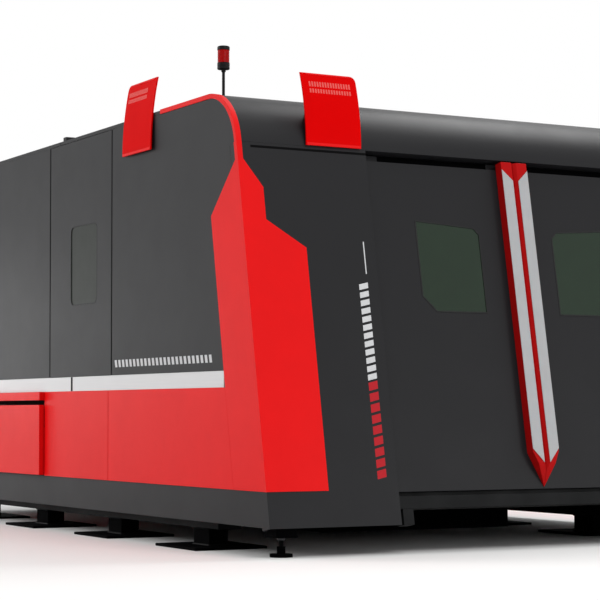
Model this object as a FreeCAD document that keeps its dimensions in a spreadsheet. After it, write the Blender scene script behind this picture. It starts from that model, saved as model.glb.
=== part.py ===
"""Enclosed fibre laser cutting machine, built as a parametric document in millimetres.

+X runs to the right along the front, +Y runs from the front to the rear, +Z is up.
The origin lies on the floor, at the centre of the four end floor anchors.
"""

import FreeCAD
import Part
import math
import os
import re

import Sketcher

Vector = FreeCAD.Vector

doc = FreeCAD.newDocument("laser_cutting_machine")
sheet = doc.addObject("Spreadsheet::Sheet", "Sizes")

# Driving dimensions: word, value in mm (or as said), what it is.
SIZES = (
    # floor anchors and bed
    ("anchor_span_x", 2680, "between the left and right floor anchors"),
    ("anchor_span_y", 3255, "between the first and last floor anchors"),
    ("anchor_hole", 18, "floor anchor hole, diameter"),
    ("plate_width", 400, "foot plate, along X"),
    ("plate_depth", 470, "foot plate, along Y"),
    ("plate_thickness", 14, "foot plate"),
    ("post_width", 106, "foot post, along X"),
    ("post_depth", 180, "foot post, along Y"),
    ("anchor_inset", 140, "bed beams' middle inward of the anchors"),
    ("beam_width", 130, "bed beams, along X"),
    ("beam_bottom", 100, "bed, lower beam's underside"),
    ("beam_height", 200, "bed, lower beam"),
    ("rail_beam_bottom", 730, "bed, upper beam's underside"),
    ("rail_beam_height", 230, "bed, upper beam"),
    ("upright_depth", 100, "bed uprights, along Y"),
    ("front_upright", 850, "first upright's centre behind the front line"),
    ("second_upright", 1815, "second upright's centre behind the front line"),
    ("bed_front", 700, "bed's front end behind the front line"),
    ("bed_rear_gap", 200, "bed's rear end before the rear wall"),
    # enclosure
    ("front_to_anchor", 917.5, "front line to the first floor anchors"),
    ("width", 3200, "outside the side walls"),
    ("length", 5100, "front line to the rear wall"),
    ("roof_height", 2250, "top of the roof"),
    ("base_height", 141, "underside of the enclosure"),
    ("lean", 10.48, "degrees that the front leans back"),
    ("nose_radius", 310, "bullnose of the roof's front edge"),
    ("nose_lip", 1985, "height of the bullnose's lower edge"),
    ("roof_thickness", 20, "depth of the roof trays"),
    ("sheet_thickness", 2.5, "panel sheet"),
    ("panel_depth", 25, "folded edge of the wall panels"),
    ("panel_gap", 4, "gap between neighbouring panels"),
    ("running_gap", 0.3, "clearance of what slides or swings"),
    ("skirt_top", 311, "lower edge of the red side panels"),
    ("stripe_bottom", 802, "upper edge of the red side panels"),
    ("stripe_top", 883, "lower edge of the upper side panels"),
    ("stripe_proud", 3, "bright side stripe stands out"),
    ("skirt_recess", 5, "skirt lies behind the wall line"),
    ("cover_thickness", 4, "corner covers and red side panels stand out"),
    ("door_to_drawer", 82, "side door's rear seam before the drawers"),
    ("side_door_width", 890, "side door from seam to seam"),
    ("red_seam", 30, "red side panels' seam behind the side door's front seam"),
    ("stripe_seam", 550, "joint in the bright stripe behind the side door's front seam"),
    ("roof_seam", 1210, "joint between the roof's front and the roof trays"),
    ("roof_tray_seam", 2520, "joint between the two roof trays, before the rear wall"),
    ("rib_height", 30, "joint cover on the roof"),
    ("rib_width", 44, "joint cover on the roof"),
    # tube frames behind the panels
    ("frame_thickness", 60, "frame tubes, along X"),
    ("frame_tube", 60, "frame tubes, in the wall's plane"),
    ("frame_lift", 19, "frame's underside above the enclosure's"),
    ("roof_tube", 50, "cross tubes under the roof"),
    # leaning front
    ("column_width", 720, "front columns"),
    ("column_depth", 25, "folded inner edge of the columns"),
    ("column_side", 72, "folded outer edge of the columns"),
    ("column_return", 25, "return of the column's outer edge"),
    ("door_recess", 30, "door face behind the column face"),
    ("door_thickness", 28, "sliding door leaf"),
    ("door_overlap", 30, "leaf behind the column"),
    ("door_centre_gap", 1, "between the two closed leaves"),
    ("door_top", 1930, "height of the leaf's top"),
    ("door_bottom", 302, "height of the leaf's bottom"),
    ("hanger_width", 70, "hanger tabs of the leaf"),
    ("hanger_inset", 90, "hanger tabs from the leaf's ends"),
    ("hanger_top", 1977, "height of the hanger tabs' tops"),
    ("sill_top", 278, "sill tube"),
    ("sill_bottom", 218, "sill tube"),
    ("sill_leg_gap", 15, "sill leg beside the column"),
    ("sill_depth", 60, "sill tube, front to back"),
    ("sill_recess", 5, "sill tube behind the column face"),
    ("guide_height", 34, "lower door guide above the sill"),
    ("rail_bottom", 1946, "door rail"),
    ("rail_height", 24, "door rail"),
    ("header_bottom", 1938, "door header"),
    ("header_height", 62, "door header"),
    ("header_depth", 60, "door header, front to back"),
    # windows
    ("pane_thickness", 6, "window panes"),
    ("pane_lap", 14, "pane behind the edge of its opening"),
    ("window_inner", 225, "window's inner edge from the middle"),
    ("window_outer", 612, "window's outer edge from the middle"),
    ("window_bottom", 1188, "window"),
    ("window_top", 1631, "window, at its inner edge"),
    ("window_rise", 24, "window's top edge rises outward"),
    ("window_chamfer", 80, "window's lower outer corner"),
    ("window_cut", 34, "window's upper inner corner"),
    ("side_window_start", 200, "side door window from the front seam"),
    ("side_window_width", 380, "side door window"),
    ("side_window_bottom", 1290, "side door window"),
    ("side_window_height", 450, "side door window"),
    ("side_window_corner", 40, "side door window's corners"),
    # middle strip
    ("strip_width", 160, "both halves of the strip"),
    ("strip_proud", 52, "strip before the leaf's face"),
    ("bar_thickness", 4, "light bars on the strip"),
    ("bar_width", 63, "light bars on the strip"),
    ("groove_depth", 15, "groove between the light bars"),
    ("strip_top", 1972, "top of the strip"),
    ("bar_top_outer", 1932, "light bar's top, outer edge"),
    ("bar_top_inner", 1875, "light bar's top, inner edge"),
    ("bar_end_outer", 497, "light bar's lower end, outer edge"),
    ("bar_end_inner", 426, "light bar's lower end, inner edge"),
    ("strip_point", 310, "strip's pointed lower end"),
    # corner covers
    ("cover_width", 330, "cover on the front, below"),
    ("cover_shoulder", 1477, "cover's wide part ends"),
    ("cover_neck_width", 122, "cover on the front, above"),
    ("cover_neck", 1607, "cover's narrow part begins"),
    ("cover_neck_top", 1765, "cover's narrow part ends"),
    ("cover_side_depth", 325, "cover on the side, behind the front face"),
    ("cover_side_top", 1645, "cover's side edge turns forward"),
    ("cover_apex", 1900, "cover narrows to the roof trim"),
    ("trim_width", 25, "red trim of the roof's edge"),
    ("trim_proud", 4, "red trim stands out"),
    # flags on the roof edge
    ("flag_thickness", 8, "flag plates"),
    ("flag_foot", 13, "front flag's foot before the leaning front"),
    ("flag_corner", 30, "rounded corners of the flags"),
    ("flag_start", 377, "front flag from the left wall"),
    ("flag_width", 312, "front flag"),
    ("flag_bottom", 1990, "front flag"),
    ("flag_top", 2358, "front flag"),
    ("flag_radius", 1100, "bend of the front flag"),
    ("flag_reach", 66, "front flag's top behind its bottom"),
    ("gusset_thickness", 6, "ribs behind the front flag"),
    ("gusset_inset", 50, "ribs from the front flag's ends"),
    ("gusset_bottom", 2068, "ribs behind the front flag"),
    ("gusset_top", 2166, "ribs behind the front flag"),
    ("gusset_depth", 132, "ribs behind the front flag"),
    ("side_flag_start", 1290, "side flag behind the front line"),
    ("side_flag_width", 360, "side flag"),
    ("side_flag_bottom", 2055, "side flag"),
    ("side_flag_top", 2440, "side flag"),
    ("side_flag_radius", 1873, "bend of the side flag"),
    ("side_flag_gap", 12, "side flag from the wall"),
    ("spacer_width", 24, "spacers of the side flag"),
    ("spacer_inset", 50, "spacers from the side flag's edges"),
    # stack light
    ("light_x", 150, "stack light from the left wall"),
    ("light_y", 780, "stack light behind the front line"),
    ("light_diameter", 63, "stack light"),
    ("light_pole", 15, "stack light's pole"),
    ("lens_inset", 1.5, "stack light's lens inside its base"),
    ("light_bottom", 2410, "stack light's base"),
    ("light_lens_bottom", 2443, "stack light's lens"),
    ("light_lens_top", 2508, "stack light's lens"),
    ("light_top", 2528, "stack light's cap"),
    # levelling feet
    ("foot_inset", 130, "feet from the walls"),
    ("foot_block", 118, "foot bracket"),
    ("foot_block_bottom", 92, "foot bracket's underside"),
    ("foot_stem", 21, "foot stem"),
    ("foot_disc", 109, "foot disc"),
    ("foot_disc_height", 16, "foot disc's rim"),
    ("foot_nut", 46, "foot's hexagon nut, across its corners"),
    ("foot_nut_top", 50, "height of the foot's nut"),
    # slag drawers
    ("drawer_rear", 458, "last drawer front before the rear wall"),
    ("drawer_width", 905, "drawer front"),
    ("drawer_gap", 20, "between the drawer fronts"),
    ("drawer_proud", 35, "drawer front before the wall"),
    ("drawer_bottom", 315, "drawer front"),
    ("drawer_top", 726, "drawer front"),
    ("hood_bottom", 766, "hood over the drawers"),
    ("drawer_depth", 850, "drawer tray, along X"),
    ("tray_height", 250, "drawer tray"),
    ("slide_gap", 18, "tray beside the bed's uprights"),
    ("runner_height", 30, "runners under the trays"),
    ("runner_lap", 12, "tray on its runner"),
    # cutting table
    ("cross_height", 100, "cross members under the table"),
    ("cross_width", 80, "cross members under the table"),
    ("table_height", 80, "table frame"),
    ("table_bar", 50, "table frame's bars"),
    ("table_side_gap", 35, "table frame beside the bed beams"),
    ("table_end_gap", 40, "table frame's ends before the outer cross members"),
    ("comb_height", 60, "notched combs"),
    ("comb_thickness", 10, "notched combs"),
    ("slat_pitch", 230, "between the support slats"),
    ("slat_thickness", 5, "support slats"),
    ("slat_height", 90, "support slats, to the tips"),
    ("slat_teeth", 12, "teeth of a slat, a count"),
    ("tooth_height", 28, "teeth of a slat"),
    ("slat_count", 14, "support slats, a count"),
    # fume extraction
    ("plenum_start", 750, "plenum from the left wall"),
    ("plenum_width", 1160, "plenum"),
    ("plenum_bottom", 60, "plenum's underside"),
    ("plenum_front", 820, "plenum's front end behind the front line"),
    ("plenum_wall", 3, "plenum's sheet"),
    ("inlet_length", 600, "inlets in the plenum's top"),
    ("inlet_width", 160, "inlets in the plenum's top"),
    ("collar_diameter", 220, "hose collar, outside"),
    ("collar_length", 90, "hose collar behind the rear wall"),
    # gantry
    ("rail_width", 34, "linear rails on the bed"),
    ("rail_tall", 24, "linear rails on the bed"),
    ("rack_width", 20, "racks beside the rails"),
    ("rack_tall", 22, "racks beside the rails"),
    ("rack_side", 34, "rack from the rail's middle"),
    ("gantry_rear", 520, "gantry's middle before the rear wall"),
    ("gantry_foot", 600, "gantry's end carriage, along Y"),
    ("gantry_side_gap", 10, "gantry inside the bed beams' outer faces"),
    ("gantry_beam_depth", 240, "gantry beam, along Y"),
    ("gantry_beam_bottom", 1105, "gantry beam's underside"),
    ("gantry_beam_height", 300, "gantry beam"),
    ("gantry_edge", 45, "chamfered edges of the gantry beam"),
    ("gantry_wall", 12, "gantry beam's wall"),
    ("x_rail_height", 20, "linear rails on the beam, in Z"),
    ("x_rail_depth", 18, "linear rails on the beam, in Y"),
    ("x_rail_inset", 62, "linear rails from the beam's edges"),
    ("carriage_width", 260, "cross carriage"),
    ("carriage_thickness", 45, "cross carriage"),
    ("carriage_home", 235, "carriage's middle from the bed's left face"),
    ("head_width", 150, "head slide"),
    ("head_slide_thickness", 30, "head slide"),
    ("head_slide_height", 420, "head slide"),
    ("head_slide_lift", 102, "head slide above the nozzle's top"),
    ("head_taper", 68, "cutting head's tapered end"),
    ("head_seat_width", 60, "bracket between housing and slide"),
    ("head_seat_height", 210, "bracket between housing and slide"),
    ("head_housing", 92, "cutting head's housing, along X and Y"),
    ("head_edge", 18, "chamfered edges of the head's housing"),
    ("head_holder", 84, "nozzle holder's upper end, diameter"),
    ("head_stand_off", 8, "housing before the head slide"),
    ("nozzle_gap", 20, "nozzle's tip above the slats"),
    ("nozzle_height", 34, "nozzle"),
    ("nozzle_collar", 32, "nozzle's hexagonal collar, across its corners"),
    ("nozzle_collar_height", 14, "nozzle's hexagonal collar"),
    ("nozzle_tip", 12, "nozzle's tip, diameter"),
    # cabinets on the right
    ("cabinet_start", 60, "laser source cabinet behind the side door's front seam"),
    ("cabinet_length", 800, "laser source cabinet"),
    ("control_length", 1400, "control cabinet"),
    ("cabinet_gap", 40, "between the cabinets"),
    ("cabinet_height", 1700, "both cabinets"),
)

for row, (alias, value, note) in enumerate(SIZES, start=1):
    sheet.set(f"A{row}", alias)
    sheet.set(f"B{row}", str(value))
    sheet.set(f"C{row}", note)
    sheet.setAlias(f"B{row}", alias)
doc.recompute()
ALIASES = {alias for alias, _, _ in SIZES}


# --------------------------------------------------------------- expressions


def bound(text):
    """The expression with each size's word pointed at the sheet."""
    return re.sub(
        r"[a-z][a-z_]*",
        lambda word: f"Sizes.{word[0]}" if word[0] in ALIASES else word[0],
        str(text),
    )


def value(text):
    """The number that an expression gives now."""
    return float(sheet.evalExpression(bound(text)))


def bind(thing, path, text):
    thing.setExpression(path, bound(text))


def less(a, b):
    return f"(({a}) - ({b}))"


def more(a, b):
    return f"(({a}) + ({b}))"


# Planes of the enclosure, worked out from the anchors.
WALL_LEFT = (
    "(-anchor_span_x / 2 + anchor_inset - beam_width / 2"
    " - frame_thickness - panel_depth)"
)
WALL_RIGHT = f"({WALL_LEFT} + width)"
MIDDLE = f"({WALL_LEFT} + width / 2)"
FRONT = "(-anchor_span_y / 2 - front_to_anchor)"
REAR = f"({FRONT} + length)"
FRAME_IN = "(panel_depth + frame_thickness)"
NOSE_Z = "(roof_height - nose_radius)"
NOSE_Y = (
    f"({FRONT} + (roof_height - nose_radius - base_height) * tan(lean)"
    " + nose_radius / cos(lean))"
)
SIDES = ("left", "right")

# A 45 degree cut gets longer by this share of the way that its two sides move out.
CUT_SHARE = "(2 - sqrt(2))"

# Cosine above which two directions count as the same, and how near two points are one.
PARALLEL = 0.999
SAME_POINT = 0.01


def behind_front(distance):
    """Y of what lies a distance behind the front line."""
    return more(FRONT, distance)


def from_wall(side, distance):
    """X of what lies a distance inside one side wall."""
    return more(WALL_LEFT, distance) if side == "left" else less(WALL_RIGHT, distance)


def from_middle(side, distance):
    """X of what lies a distance from the middle of the front, towards one side."""
    return less(MIDDLE, distance) if side == "left" else more(MIDDLE, distance)


def from_beam(side, distance):
    """X of what lies a distance inward of the middle of one bed beam."""
    if side == "left":
        return f"(-anchor_span_x / 2 + anchor_inset + ({distance}))"
    return f"(anchor_span_x / 2 - anchor_inset - ({distance}))"


def up_slope(height):
    """Distance up the leaning front of what lies at a height."""
    return f"((({height}) - base_height) / cos(lean))"


def front_y(depth, height):
    """Y of the plane that lies a depth behind the leaning front, at a height."""
    return f"({FRONT} + (({height}) - base_height) * tan(lean) + ({depth}) / cos(lean))"


def lean_yz(depth, up):
    """Y and Z of a point given by its depth behind, and way up, the leaning front."""
    return (
        f"({FRONT} + ({depth}) * cos(lean) + ({up}) * sin(lean))",
        f"(base_height + ({up}) * cos(lean) - ({depth}) * sin(lean))",
    )


def in_order(a, b):
    return (a, b) if value(a) <= value(b) else (b, a)


# ------------------------------------------------------------------ builders


def labelled(thing, name):
    thing.Label = name
    return thing


def place(thing, x=None, y=None, z=None):
    for axis, text in (("x", x), ("y", y), ("z", z)):
        if text is not None:
            bind(thing, f"Placement.Base.{axis}", text)
    return thing


def tilt(thing, depth="0", up="0", x=None):
    """Leans a piece back with the front, from a point on the front."""
    y, z = lean_yz(depth, up)
    thing.Placement = FreeCAD.Placement(
        Vector(), FreeCAD.Rotation(Vector(-1, 0, 0), value("lean"))
    )
    bind(thing, "Placement.Rotation.Angle", "lean")
    return place(thing, x, y, z)


def box(name, x, y, z):
    """A box between two planes along each axis."""
    x, y, z = in_order(*x), in_order(*y), in_order(*z)
    block = doc.addObject("Part::Box", name)
    bind(block, "Length", less(x[1], x[0]))
    bind(block, "Width", less(y[1], y[0]))
    bind(block, "Height", less(z[1], z[0]))
    return place(block, x[0], y[0], z[0])


def lean_box(name, x, depth, up):
    """A box between two planes along X, behind the leaning front and up it."""
    x = in_order(*x)
    block = doc.addObject("Part::Box", name)
    bind(block, "Length", less(x[1], x[0]))
    bind(block, "Width", less(depth[1], depth[0]))
    bind(block, "Height", less(up[1], up[0]))
    return tilt(block, depth[0], up[0], x[0])


def cylinder(name, radius, length, x, y, z, axis=Vector(0, 0, 1)):
    rod = doc.addObject("Part::Cylinder", name)
    bind(rod, "Radius", radius)
    bind(rod, "Height", length)
    rod.Placement = FreeCAD.Placement(
        Vector(), FreeCAD.Rotation(Vector(0, 0, 1), axis)
    )
    return place(rod, x, y, z)


def cone(name, low_radius, high_radius, length, x, y, z):
    taper = doc.addObject("Part::Cone", name)
    bind(taper, "Radius1", low_radius)
    bind(taper, "Radius2", high_radius)
    bind(taper, "Height", length)
    return place(taper, x, y, z)


def hexagon(name, across, height, x, y, z):
    """An upright hexagonal bar, given across its corners."""
    bar = doc.addObject("Part::Prism", name)
    bar.Polygon = 6
    bind(bar, "Circumradius", f"({across}) / 2")
    bind(bar, "Height", height)
    return place(bar, x, y, z)


def fuse(name, pieces):
    whole = doc.addObject("Part::MultiFuse", name)
    whole.Shapes = pieces
    whole.Refine = True
    return labelled(whole, name)


def cut(name, base, tools):
    """The base less its tools."""
    tool = tools[0]
    if len(tools) > 1:
        tool = doc.addObject("Part::MultiFuse", f"{name}_tools")
        tool.Shapes = tools
    rest = doc.addObject("Part::Cut", name)
    rest.Base = base
    rest.Tool = tool
    rest.Refine = True
    return labelled(rest, name)


def group(name, pieces):
    """Like pieces that stay separate solids in one node."""
    several = doc.addObject("Part::Compound", name)
    several.Links = pieces
    return labelled(several, name)


def origin_plane(body, role):
    return next(part for part in body.Origin.OriginFeatures if part.Role == role)


def arc_between(start, end, radius, leftward):
    """An arc that bulges to the right, or left, of the way from start to end."""
    way = end - start
    half = way.Length / 2
    across = Vector(way.y, -way.x, 0).normalize() * (-1 if leftward else 1)
    sagitta = radius - math.sqrt(radius**2 - half**2)
    return Part.Arc(start, (start + end) / 2 + across * sagitta, end)


def outline(body, plane, corners, name):
    """A closed sketch whose corners are bound to the sheet.

    A corner is (u, v), or (u, v, radius) where an arc leads on to the next corner
    and bulges to the right of its way, or (u, v, radius, True) where it bulges left.
    """
    sketch = body.newObject("Sketcher::SketchObject", name)
    sketch.AttachmentSupport = (origin_plane(body, plane), [""])
    sketch.MapMode = "FlatFace"
    points = [Vector(value(corner[0]), value(corner[1]), 0) for corner in corners]
    count = len(corners)
    for index, corner in enumerate(corners):
        start, end = points[index], points[(index + 1) % count]
        if len(corner) > 2:
            bulge_left = len(corner) == 4
            sketch.addGeometry(arc_between(start, end, value(corner[2]), bulge_left))
        else:
            sketch.addGeometry(Part.LineSegment(start, end))

    def end_at(index, point):
        """1 or 2, for the end of an edge that lies at a point."""
        first = sketch.getPoint(index, 1)
        return 1 if (first - point).Length < SAME_POINT else 2

    for index, corner in enumerate(corners):
        before = (index - 1) % count
        here = end_at(index, points[index])
        there = end_at(before, points[index])
        sketch.addConstraint(
            Sketcher.Constraint("Coincident", before, there, index, here)
        )
        for kind, at, text in (
            ("DistanceX", points[index].x, corner[0]),
            ("DistanceY", points[index].y, corner[1]),
        ):
            number = sketch.addConstraint(
                Sketcher.Constraint(kind, -1, 1, index, here, at)
            )
            sketch.setExpression(f"Constraints[{number}]", bound(text))
        if len(corner) > 2:
            number = sketch.addConstraint(
                Sketcher.Constraint("Radius", index, value(corner[2]))
            )
            sketch.setExpression(f"Constraints[{number}]", bound(corner[2]))
    return sketch


def pad(body, sketch, length, name, backward=False):
    feature = body.newObject("PartDesign::Pad", name)
    feature.Profile = sketch
    feature.Reversed = backward
    bind(feature, "Length", length)
    doc.recompute()
    return feature


def pocket(body, sketch, name):
    """A pocket through all, checked to have cut something."""
    before = body.Shape.Volume
    feature = body.newObject("PartDesign::Pocket", name)
    feature.Profile = sketch
    feature.Type = "ThroughAll"
    feature.Midplane = True
    doc.recompute()
    if body.Shape.Volume >= before:
        raise ValueError(f"{name} cuts nothing")
    return feature


def face_towards(feature, way):
    """The name of the outermost flat face that looks one way."""
    best, reach = None, -math.inf
    for number, face in enumerate(feature.Shape.Faces, start=1):
        if not isinstance(face.Surface, Part.Plane):
            continue
        out = face.CenterOfMass.dot(way)
        if face.normalAt(0, 0).dot(way) > PARALLEL and out > reach:
            best, reach = f"Face{number}", out
    return best


def shell(body, feature, way, thickness, name):
    """Hollows a pad to a folded sheet that is open towards one side."""
    folded = body.newObject("PartDesign::Thickness", name)
    folded.Base = (feature, [face_towards(feature, way)])
    folded.Mode = "Skin"
    folded.Join = "Intersection"
    folded.Reversed = True
    bind(folded, "Value", thickness)
    doc.recompute()
    return folded


def round_corners(body, feature, along, radius, name):
    """Rounds the straight edges of a feature that run one way."""
    edges = []
    for number, edge in enumerate(feature.Shape.Edges, start=1):
        if not isinstance(edge.Curve, Part.Line):
            continue
        if abs(edge.tangentAt(edge.FirstParameter).dot(along)) > PARALLEL:
            edges.append(f"Edge{number}")
    rounded = body.newObject("PartDesign::Fillet", name)
    rounded.Base = (feature, edges)
    bind(rounded, "Radius", radius)
    doc.recompute()
    return rounded


def new_body(name):
    return labelled(doc.addObject("PartDesign::Body", name), name)


def wall_piece(name, side, corners, proud="0", depth="panel_depth", hollow=True):
    """A folded panel of a side wall, drawn in Y and Z, open towards the inside."""
    body = new_body(name)
    sketch = outline(body, "YZ_Plane", corners, f"{name}_outline")
    feature = pad(body, sketch, more(depth, proud), f"{name}_pad")
    if side == "left":
        place(body, less(WALL_LEFT, proud))
        inward = Vector(1, 0, 0)
    else:
        place(body, less(WALL_RIGHT, depth))
        inward = Vector(-1, 0, 0)
    if hollow:
        shell(body, feature, inward, "sheet_thickness", f"{name}_fold")
    doc.recompute()
    return body


def rectangle(low, high):
    """Corners of an upright rectangle, each end given as (u, v)."""
    return [low, (high[0], low[1]), high, (low[0], high[1])]


def rounded_rectangle(low, high, radius):
    """Corners of an upright rectangle whose corners are quarter circles."""
    (left, bottom), (right, top) = low, high
    return [
        (more(left, radius), bottom),
        (less(right, radius), bottom, radius),
        (right, more(bottom, radius)),
        (right, less(top, radius), radius),
        (less(right, radius), top),
        (more(left, radius), top, radius),
        (left, less(top, radius)),
        (left, more(bottom, radius), radius),
    ]


# ------------------------------------------------------------------- the bed

# Middles of the bed's uprights: two in front, three beside the drawers.
DRAWER_END = less(REAR, "drawer_rear")
DRAWER_TWO = less(DRAWER_END, "drawer_width")
DRAWER_ONE = less(DRAWER_TWO, "drawer_width + drawer_gap")
UPRIGHTS = (
    behind_front("front_upright"),
    behind_front("second_upright"),
    less(DRAWER_ONE, "drawer_gap / 2"),
    more(DRAWER_ONE, "drawer_width + drawer_gap / 2"),
    more(DRAWER_END, "drawer_gap / 2"),
)
BED_ENDS = (behind_front("bed_front"), less(REAR, "bed_rear_gap"))
BEAM_TOP = "(beam_bottom + beam_height)"
RAIL_BEAM_TOP = "(rail_beam_bottom + rail_beam_height)"
FEET_ROWS = 4


def around(middle, size):
    """Both ends of what lies about a middle."""
    return less(middle, f"({size}) / 2"), more(middle, f"({size}) / 2")


def bed_side(side):
    """A welded side of the bed: lower beam, uprights and the beam under the rail."""
    across = around(from_beam(side, "0"), "beam_width")
    bars = [
        box(f"bed_{side}_lower", across, BED_ENDS, ("beam_bottom", BEAM_TOP)),
        box(f"bed_{side}_upper", across, BED_ENDS, ("rail_beam_bottom", RAIL_BEAM_TOP)),
    ]
    for number, middle in enumerate(UPRIGHTS, start=1):
        bars.append(
            box(
                f"bed_{side}_upright_{number}",
                across,
                around(middle, "upright_depth"),
                (BEAM_TOP, "rail_beam_bottom"),
            )
        )
    return fuse(f"bed_side_{side}", bars)


def bed_foot(side, row):
    """A post under the beam, on a plate with one anchor hole."""
    name = f"foot_{side}_{row + 1}"
    middle_x = from_beam(side, "0")
    middle_y = f"(-anchor_span_y / 2 + anchor_span_y * {row} / {FEET_ROWS - 1})"
    plate = box(
        f"{name}_plate",
        around(middle_x, "plate_width"),
        around(middle_y, "plate_depth"),
        ("0", "plate_thickness"),
    )
    post = box(
        f"{name}_post",
        around(middle_x, "post_width"),
        around(middle_y, "post_depth"),
        ("plate_thickness", "beam_bottom"),
    )
    drill = cylinder(
        f"{name}_drill",
        "anchor_hole / 2",
        "plate_thickness",
        from_beam(side, "-anchor_inset"),
        middle_y,
        "0",
    )
    return cut(name, fuse(f"{name}_weldment", [plate, post]), [drill])


def levelling_foot(side, end):
    """A stem, nut and disc under a bracket of the enclosure's corner."""
    name = f"levelling_{side}_{end}"
    middle_x = from_wall(side, "foot_inset")
    middle_y = behind_front("foot_inset") if end == "front" else less(REAR, "foot_inset")
    bracket = box(
        f"{name}_bracket",
        around(middle_x, "foot_block"),
        around(middle_y, "foot_block"),
        ("foot_block_bottom", "base_height + frame_lift"),
    )
    stem = cylinder(
        f"{name}_stem",
        "foot_stem / 2",
        "foot_block_bottom - foot_nut_top",
        middle_x,
        middle_y,
        "foot_nut_top",
    )
    nut = hexagon(
        f"{name}_nut",
        "foot_nut",
        "foot_nut_top - foot_disc_height",
        middle_x,
        middle_y,
        "foot_disc_height",
    )
    disc = cylinder(
        f"{name}_disc", "foot_disc / 2", "foot_disc_height", middle_x, middle_y, "0"
    )
    return fuse(name, [bracket, stem, nut, disc])


# The table frame lies on cross members between the bed beams.
CROSS_BOTTOM = "(rail_beam_bottom - cross_height)"
TABLE_TOP = "(rail_beam_bottom + table_height)"
BEAM_INSIDE = "(beam_width / 2)"
TABLE_SIDE = "(beam_width / 2 + table_side_gap)"
TABLE_ENDS = (
    less(UPRIGHTS[0], "cross_width / 2"),
    more(UPRIGHTS[4], "cross_width / 2 - table_end_gap"),
)
COMB_SIDE = more(TABLE_SIDE, "(table_bar - comb_thickness) / 2")
SLAT_FOOT = "(rail_beam_bottom + table_height + comb_height / 2)"
SLAT_TIP = f"({SLAT_FOOT} + slat_height)"
SLAT_ONE = more(TABLE_ENDS[0], "slat_pitch / 2")


def table_frame():
    """A welded rectangle on five cross members between the bed beams."""
    across = (from_beam("left", BEAM_INSIDE), from_beam("right", BEAM_INSIDE))
    table_z = ("rail_beam_bottom", TABLE_TOP)
    bars = [
        box(
            f"cross_member_{number}",
            across,
            around(middle, "cross_width"),
            (CROSS_BOTTOM, "rail_beam_bottom"),
        )
        for number, middle in enumerate(UPRIGHTS, start=1)
    ]
    for side in SIDES:
        bars.append(
            box(
                f"table_{side}_bar",
                (
                    from_beam(side, TABLE_SIDE),
                    from_beam(side, more(TABLE_SIDE, "table_bar")),
                ),
                TABLE_ENDS,
                table_z,
            )
        )
    ends = (from_beam("left", TABLE_SIDE), from_beam("right", TABLE_SIDE))
    bars.append(
        box("table_front_bar", ends, (TABLE_ENDS[0], more(TABLE_ENDS[0], "table_bar")), table_z)
    )
    bars.append(
        box("table_rear_bar", ends, (less(TABLE_ENDS[1], "table_bar"), TABLE_ENDS[1]), table_z)
    )
    return fuse("table_frame", bars)


def slat_comb(side):
    """A bar with a notch for each support slat."""
    name = f"slat_comb_{side}"
    bar = box(
        f"{name}_bar",
        (
            from_beam(side, COMB_SIDE),
            from_beam(side, more(COMB_SIDE, "comb_thickness")),
        ),
        (
            less(SLAT_ONE, "slat_pitch / 3"),
            more(SLAT_ONE, "slat_pitch * (slat_count - 1) + slat_pitch / 3"),
        ),
        (TABLE_TOP, f"{TABLE_TOP} + comb_height"),
    )
    notches = []
    for index in range(int(value("slat_count"))):
        middle = more(SLAT_ONE, f"slat_pitch * {index}")
        notches.append(
            box(
                f"{name}_notch_{index + 1}",
                (
                    from_beam(side, COMB_SIDE),
                    from_beam(side, more(COMB_SIDE, "comb_thickness")),
                ),
                around(middle, "slat_thickness"),
                (SLAT_FOOT, f"{TABLE_TOP} + comb_height"),
            )
        )
    return cut(name, bar, notches)


def support_slats():
    """Upright strips with a row of pointed teeth that carry the sheet metal."""
    left, right = from_beam("left", COMB_SIDE), from_beam("right", COMB_SIDE)
    root = less(SLAT_TIP, "tooth_height")
    step = f"({less(right, left)} / slat_teeth)"
    corners = [(left, SLAT_FOOT), (right, SLAT_FOOT), (right, root)]
    for index in range(int(value("slat_teeth")), 0, -1):
        corners.append((more(left, f"{step} * {index - 0.5}"), SLAT_TIP))
        corners.append((more(left, f"{step} * {index - 1}"), root))
    body = new_body("support_slats")
    body.AllowCompound = True
    sketch = outline(body, "XZ_Plane", corners, "slat_outline")
    slat = pad(body, sketch, "slat_thickness", "slat_pad", backward=True)
    place(body, y=less(SLAT_ONE, "slat_thickness / 2"))
    row = body.newObject("PartDesign::LinearPattern", "slat_row")
    row.Originals = [slat]
    row.Direction = (origin_plane(body, "Y_Axis"), [""])
    row.Mode = "Spacing"
    bind(row, "Offset", "slat_pitch")
    bind(row, "Occurrences", "slat_count")
    body.Tip = row
    doc.recompute()
    return body


# The extraction plenum lies on the ground side of the bed, under the table.
PLENUM_X = (
    from_wall("left", "plenum_start"),
    from_wall("left", "plenum_start + plenum_width"),
)
PLENUM_Y = (behind_front("plenum_front"), less(REAR, "bed_rear_gap / 2"))
PLENUM_MIDDLE = more(PLENUM_X[0], "plenum_width / 2")


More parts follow.
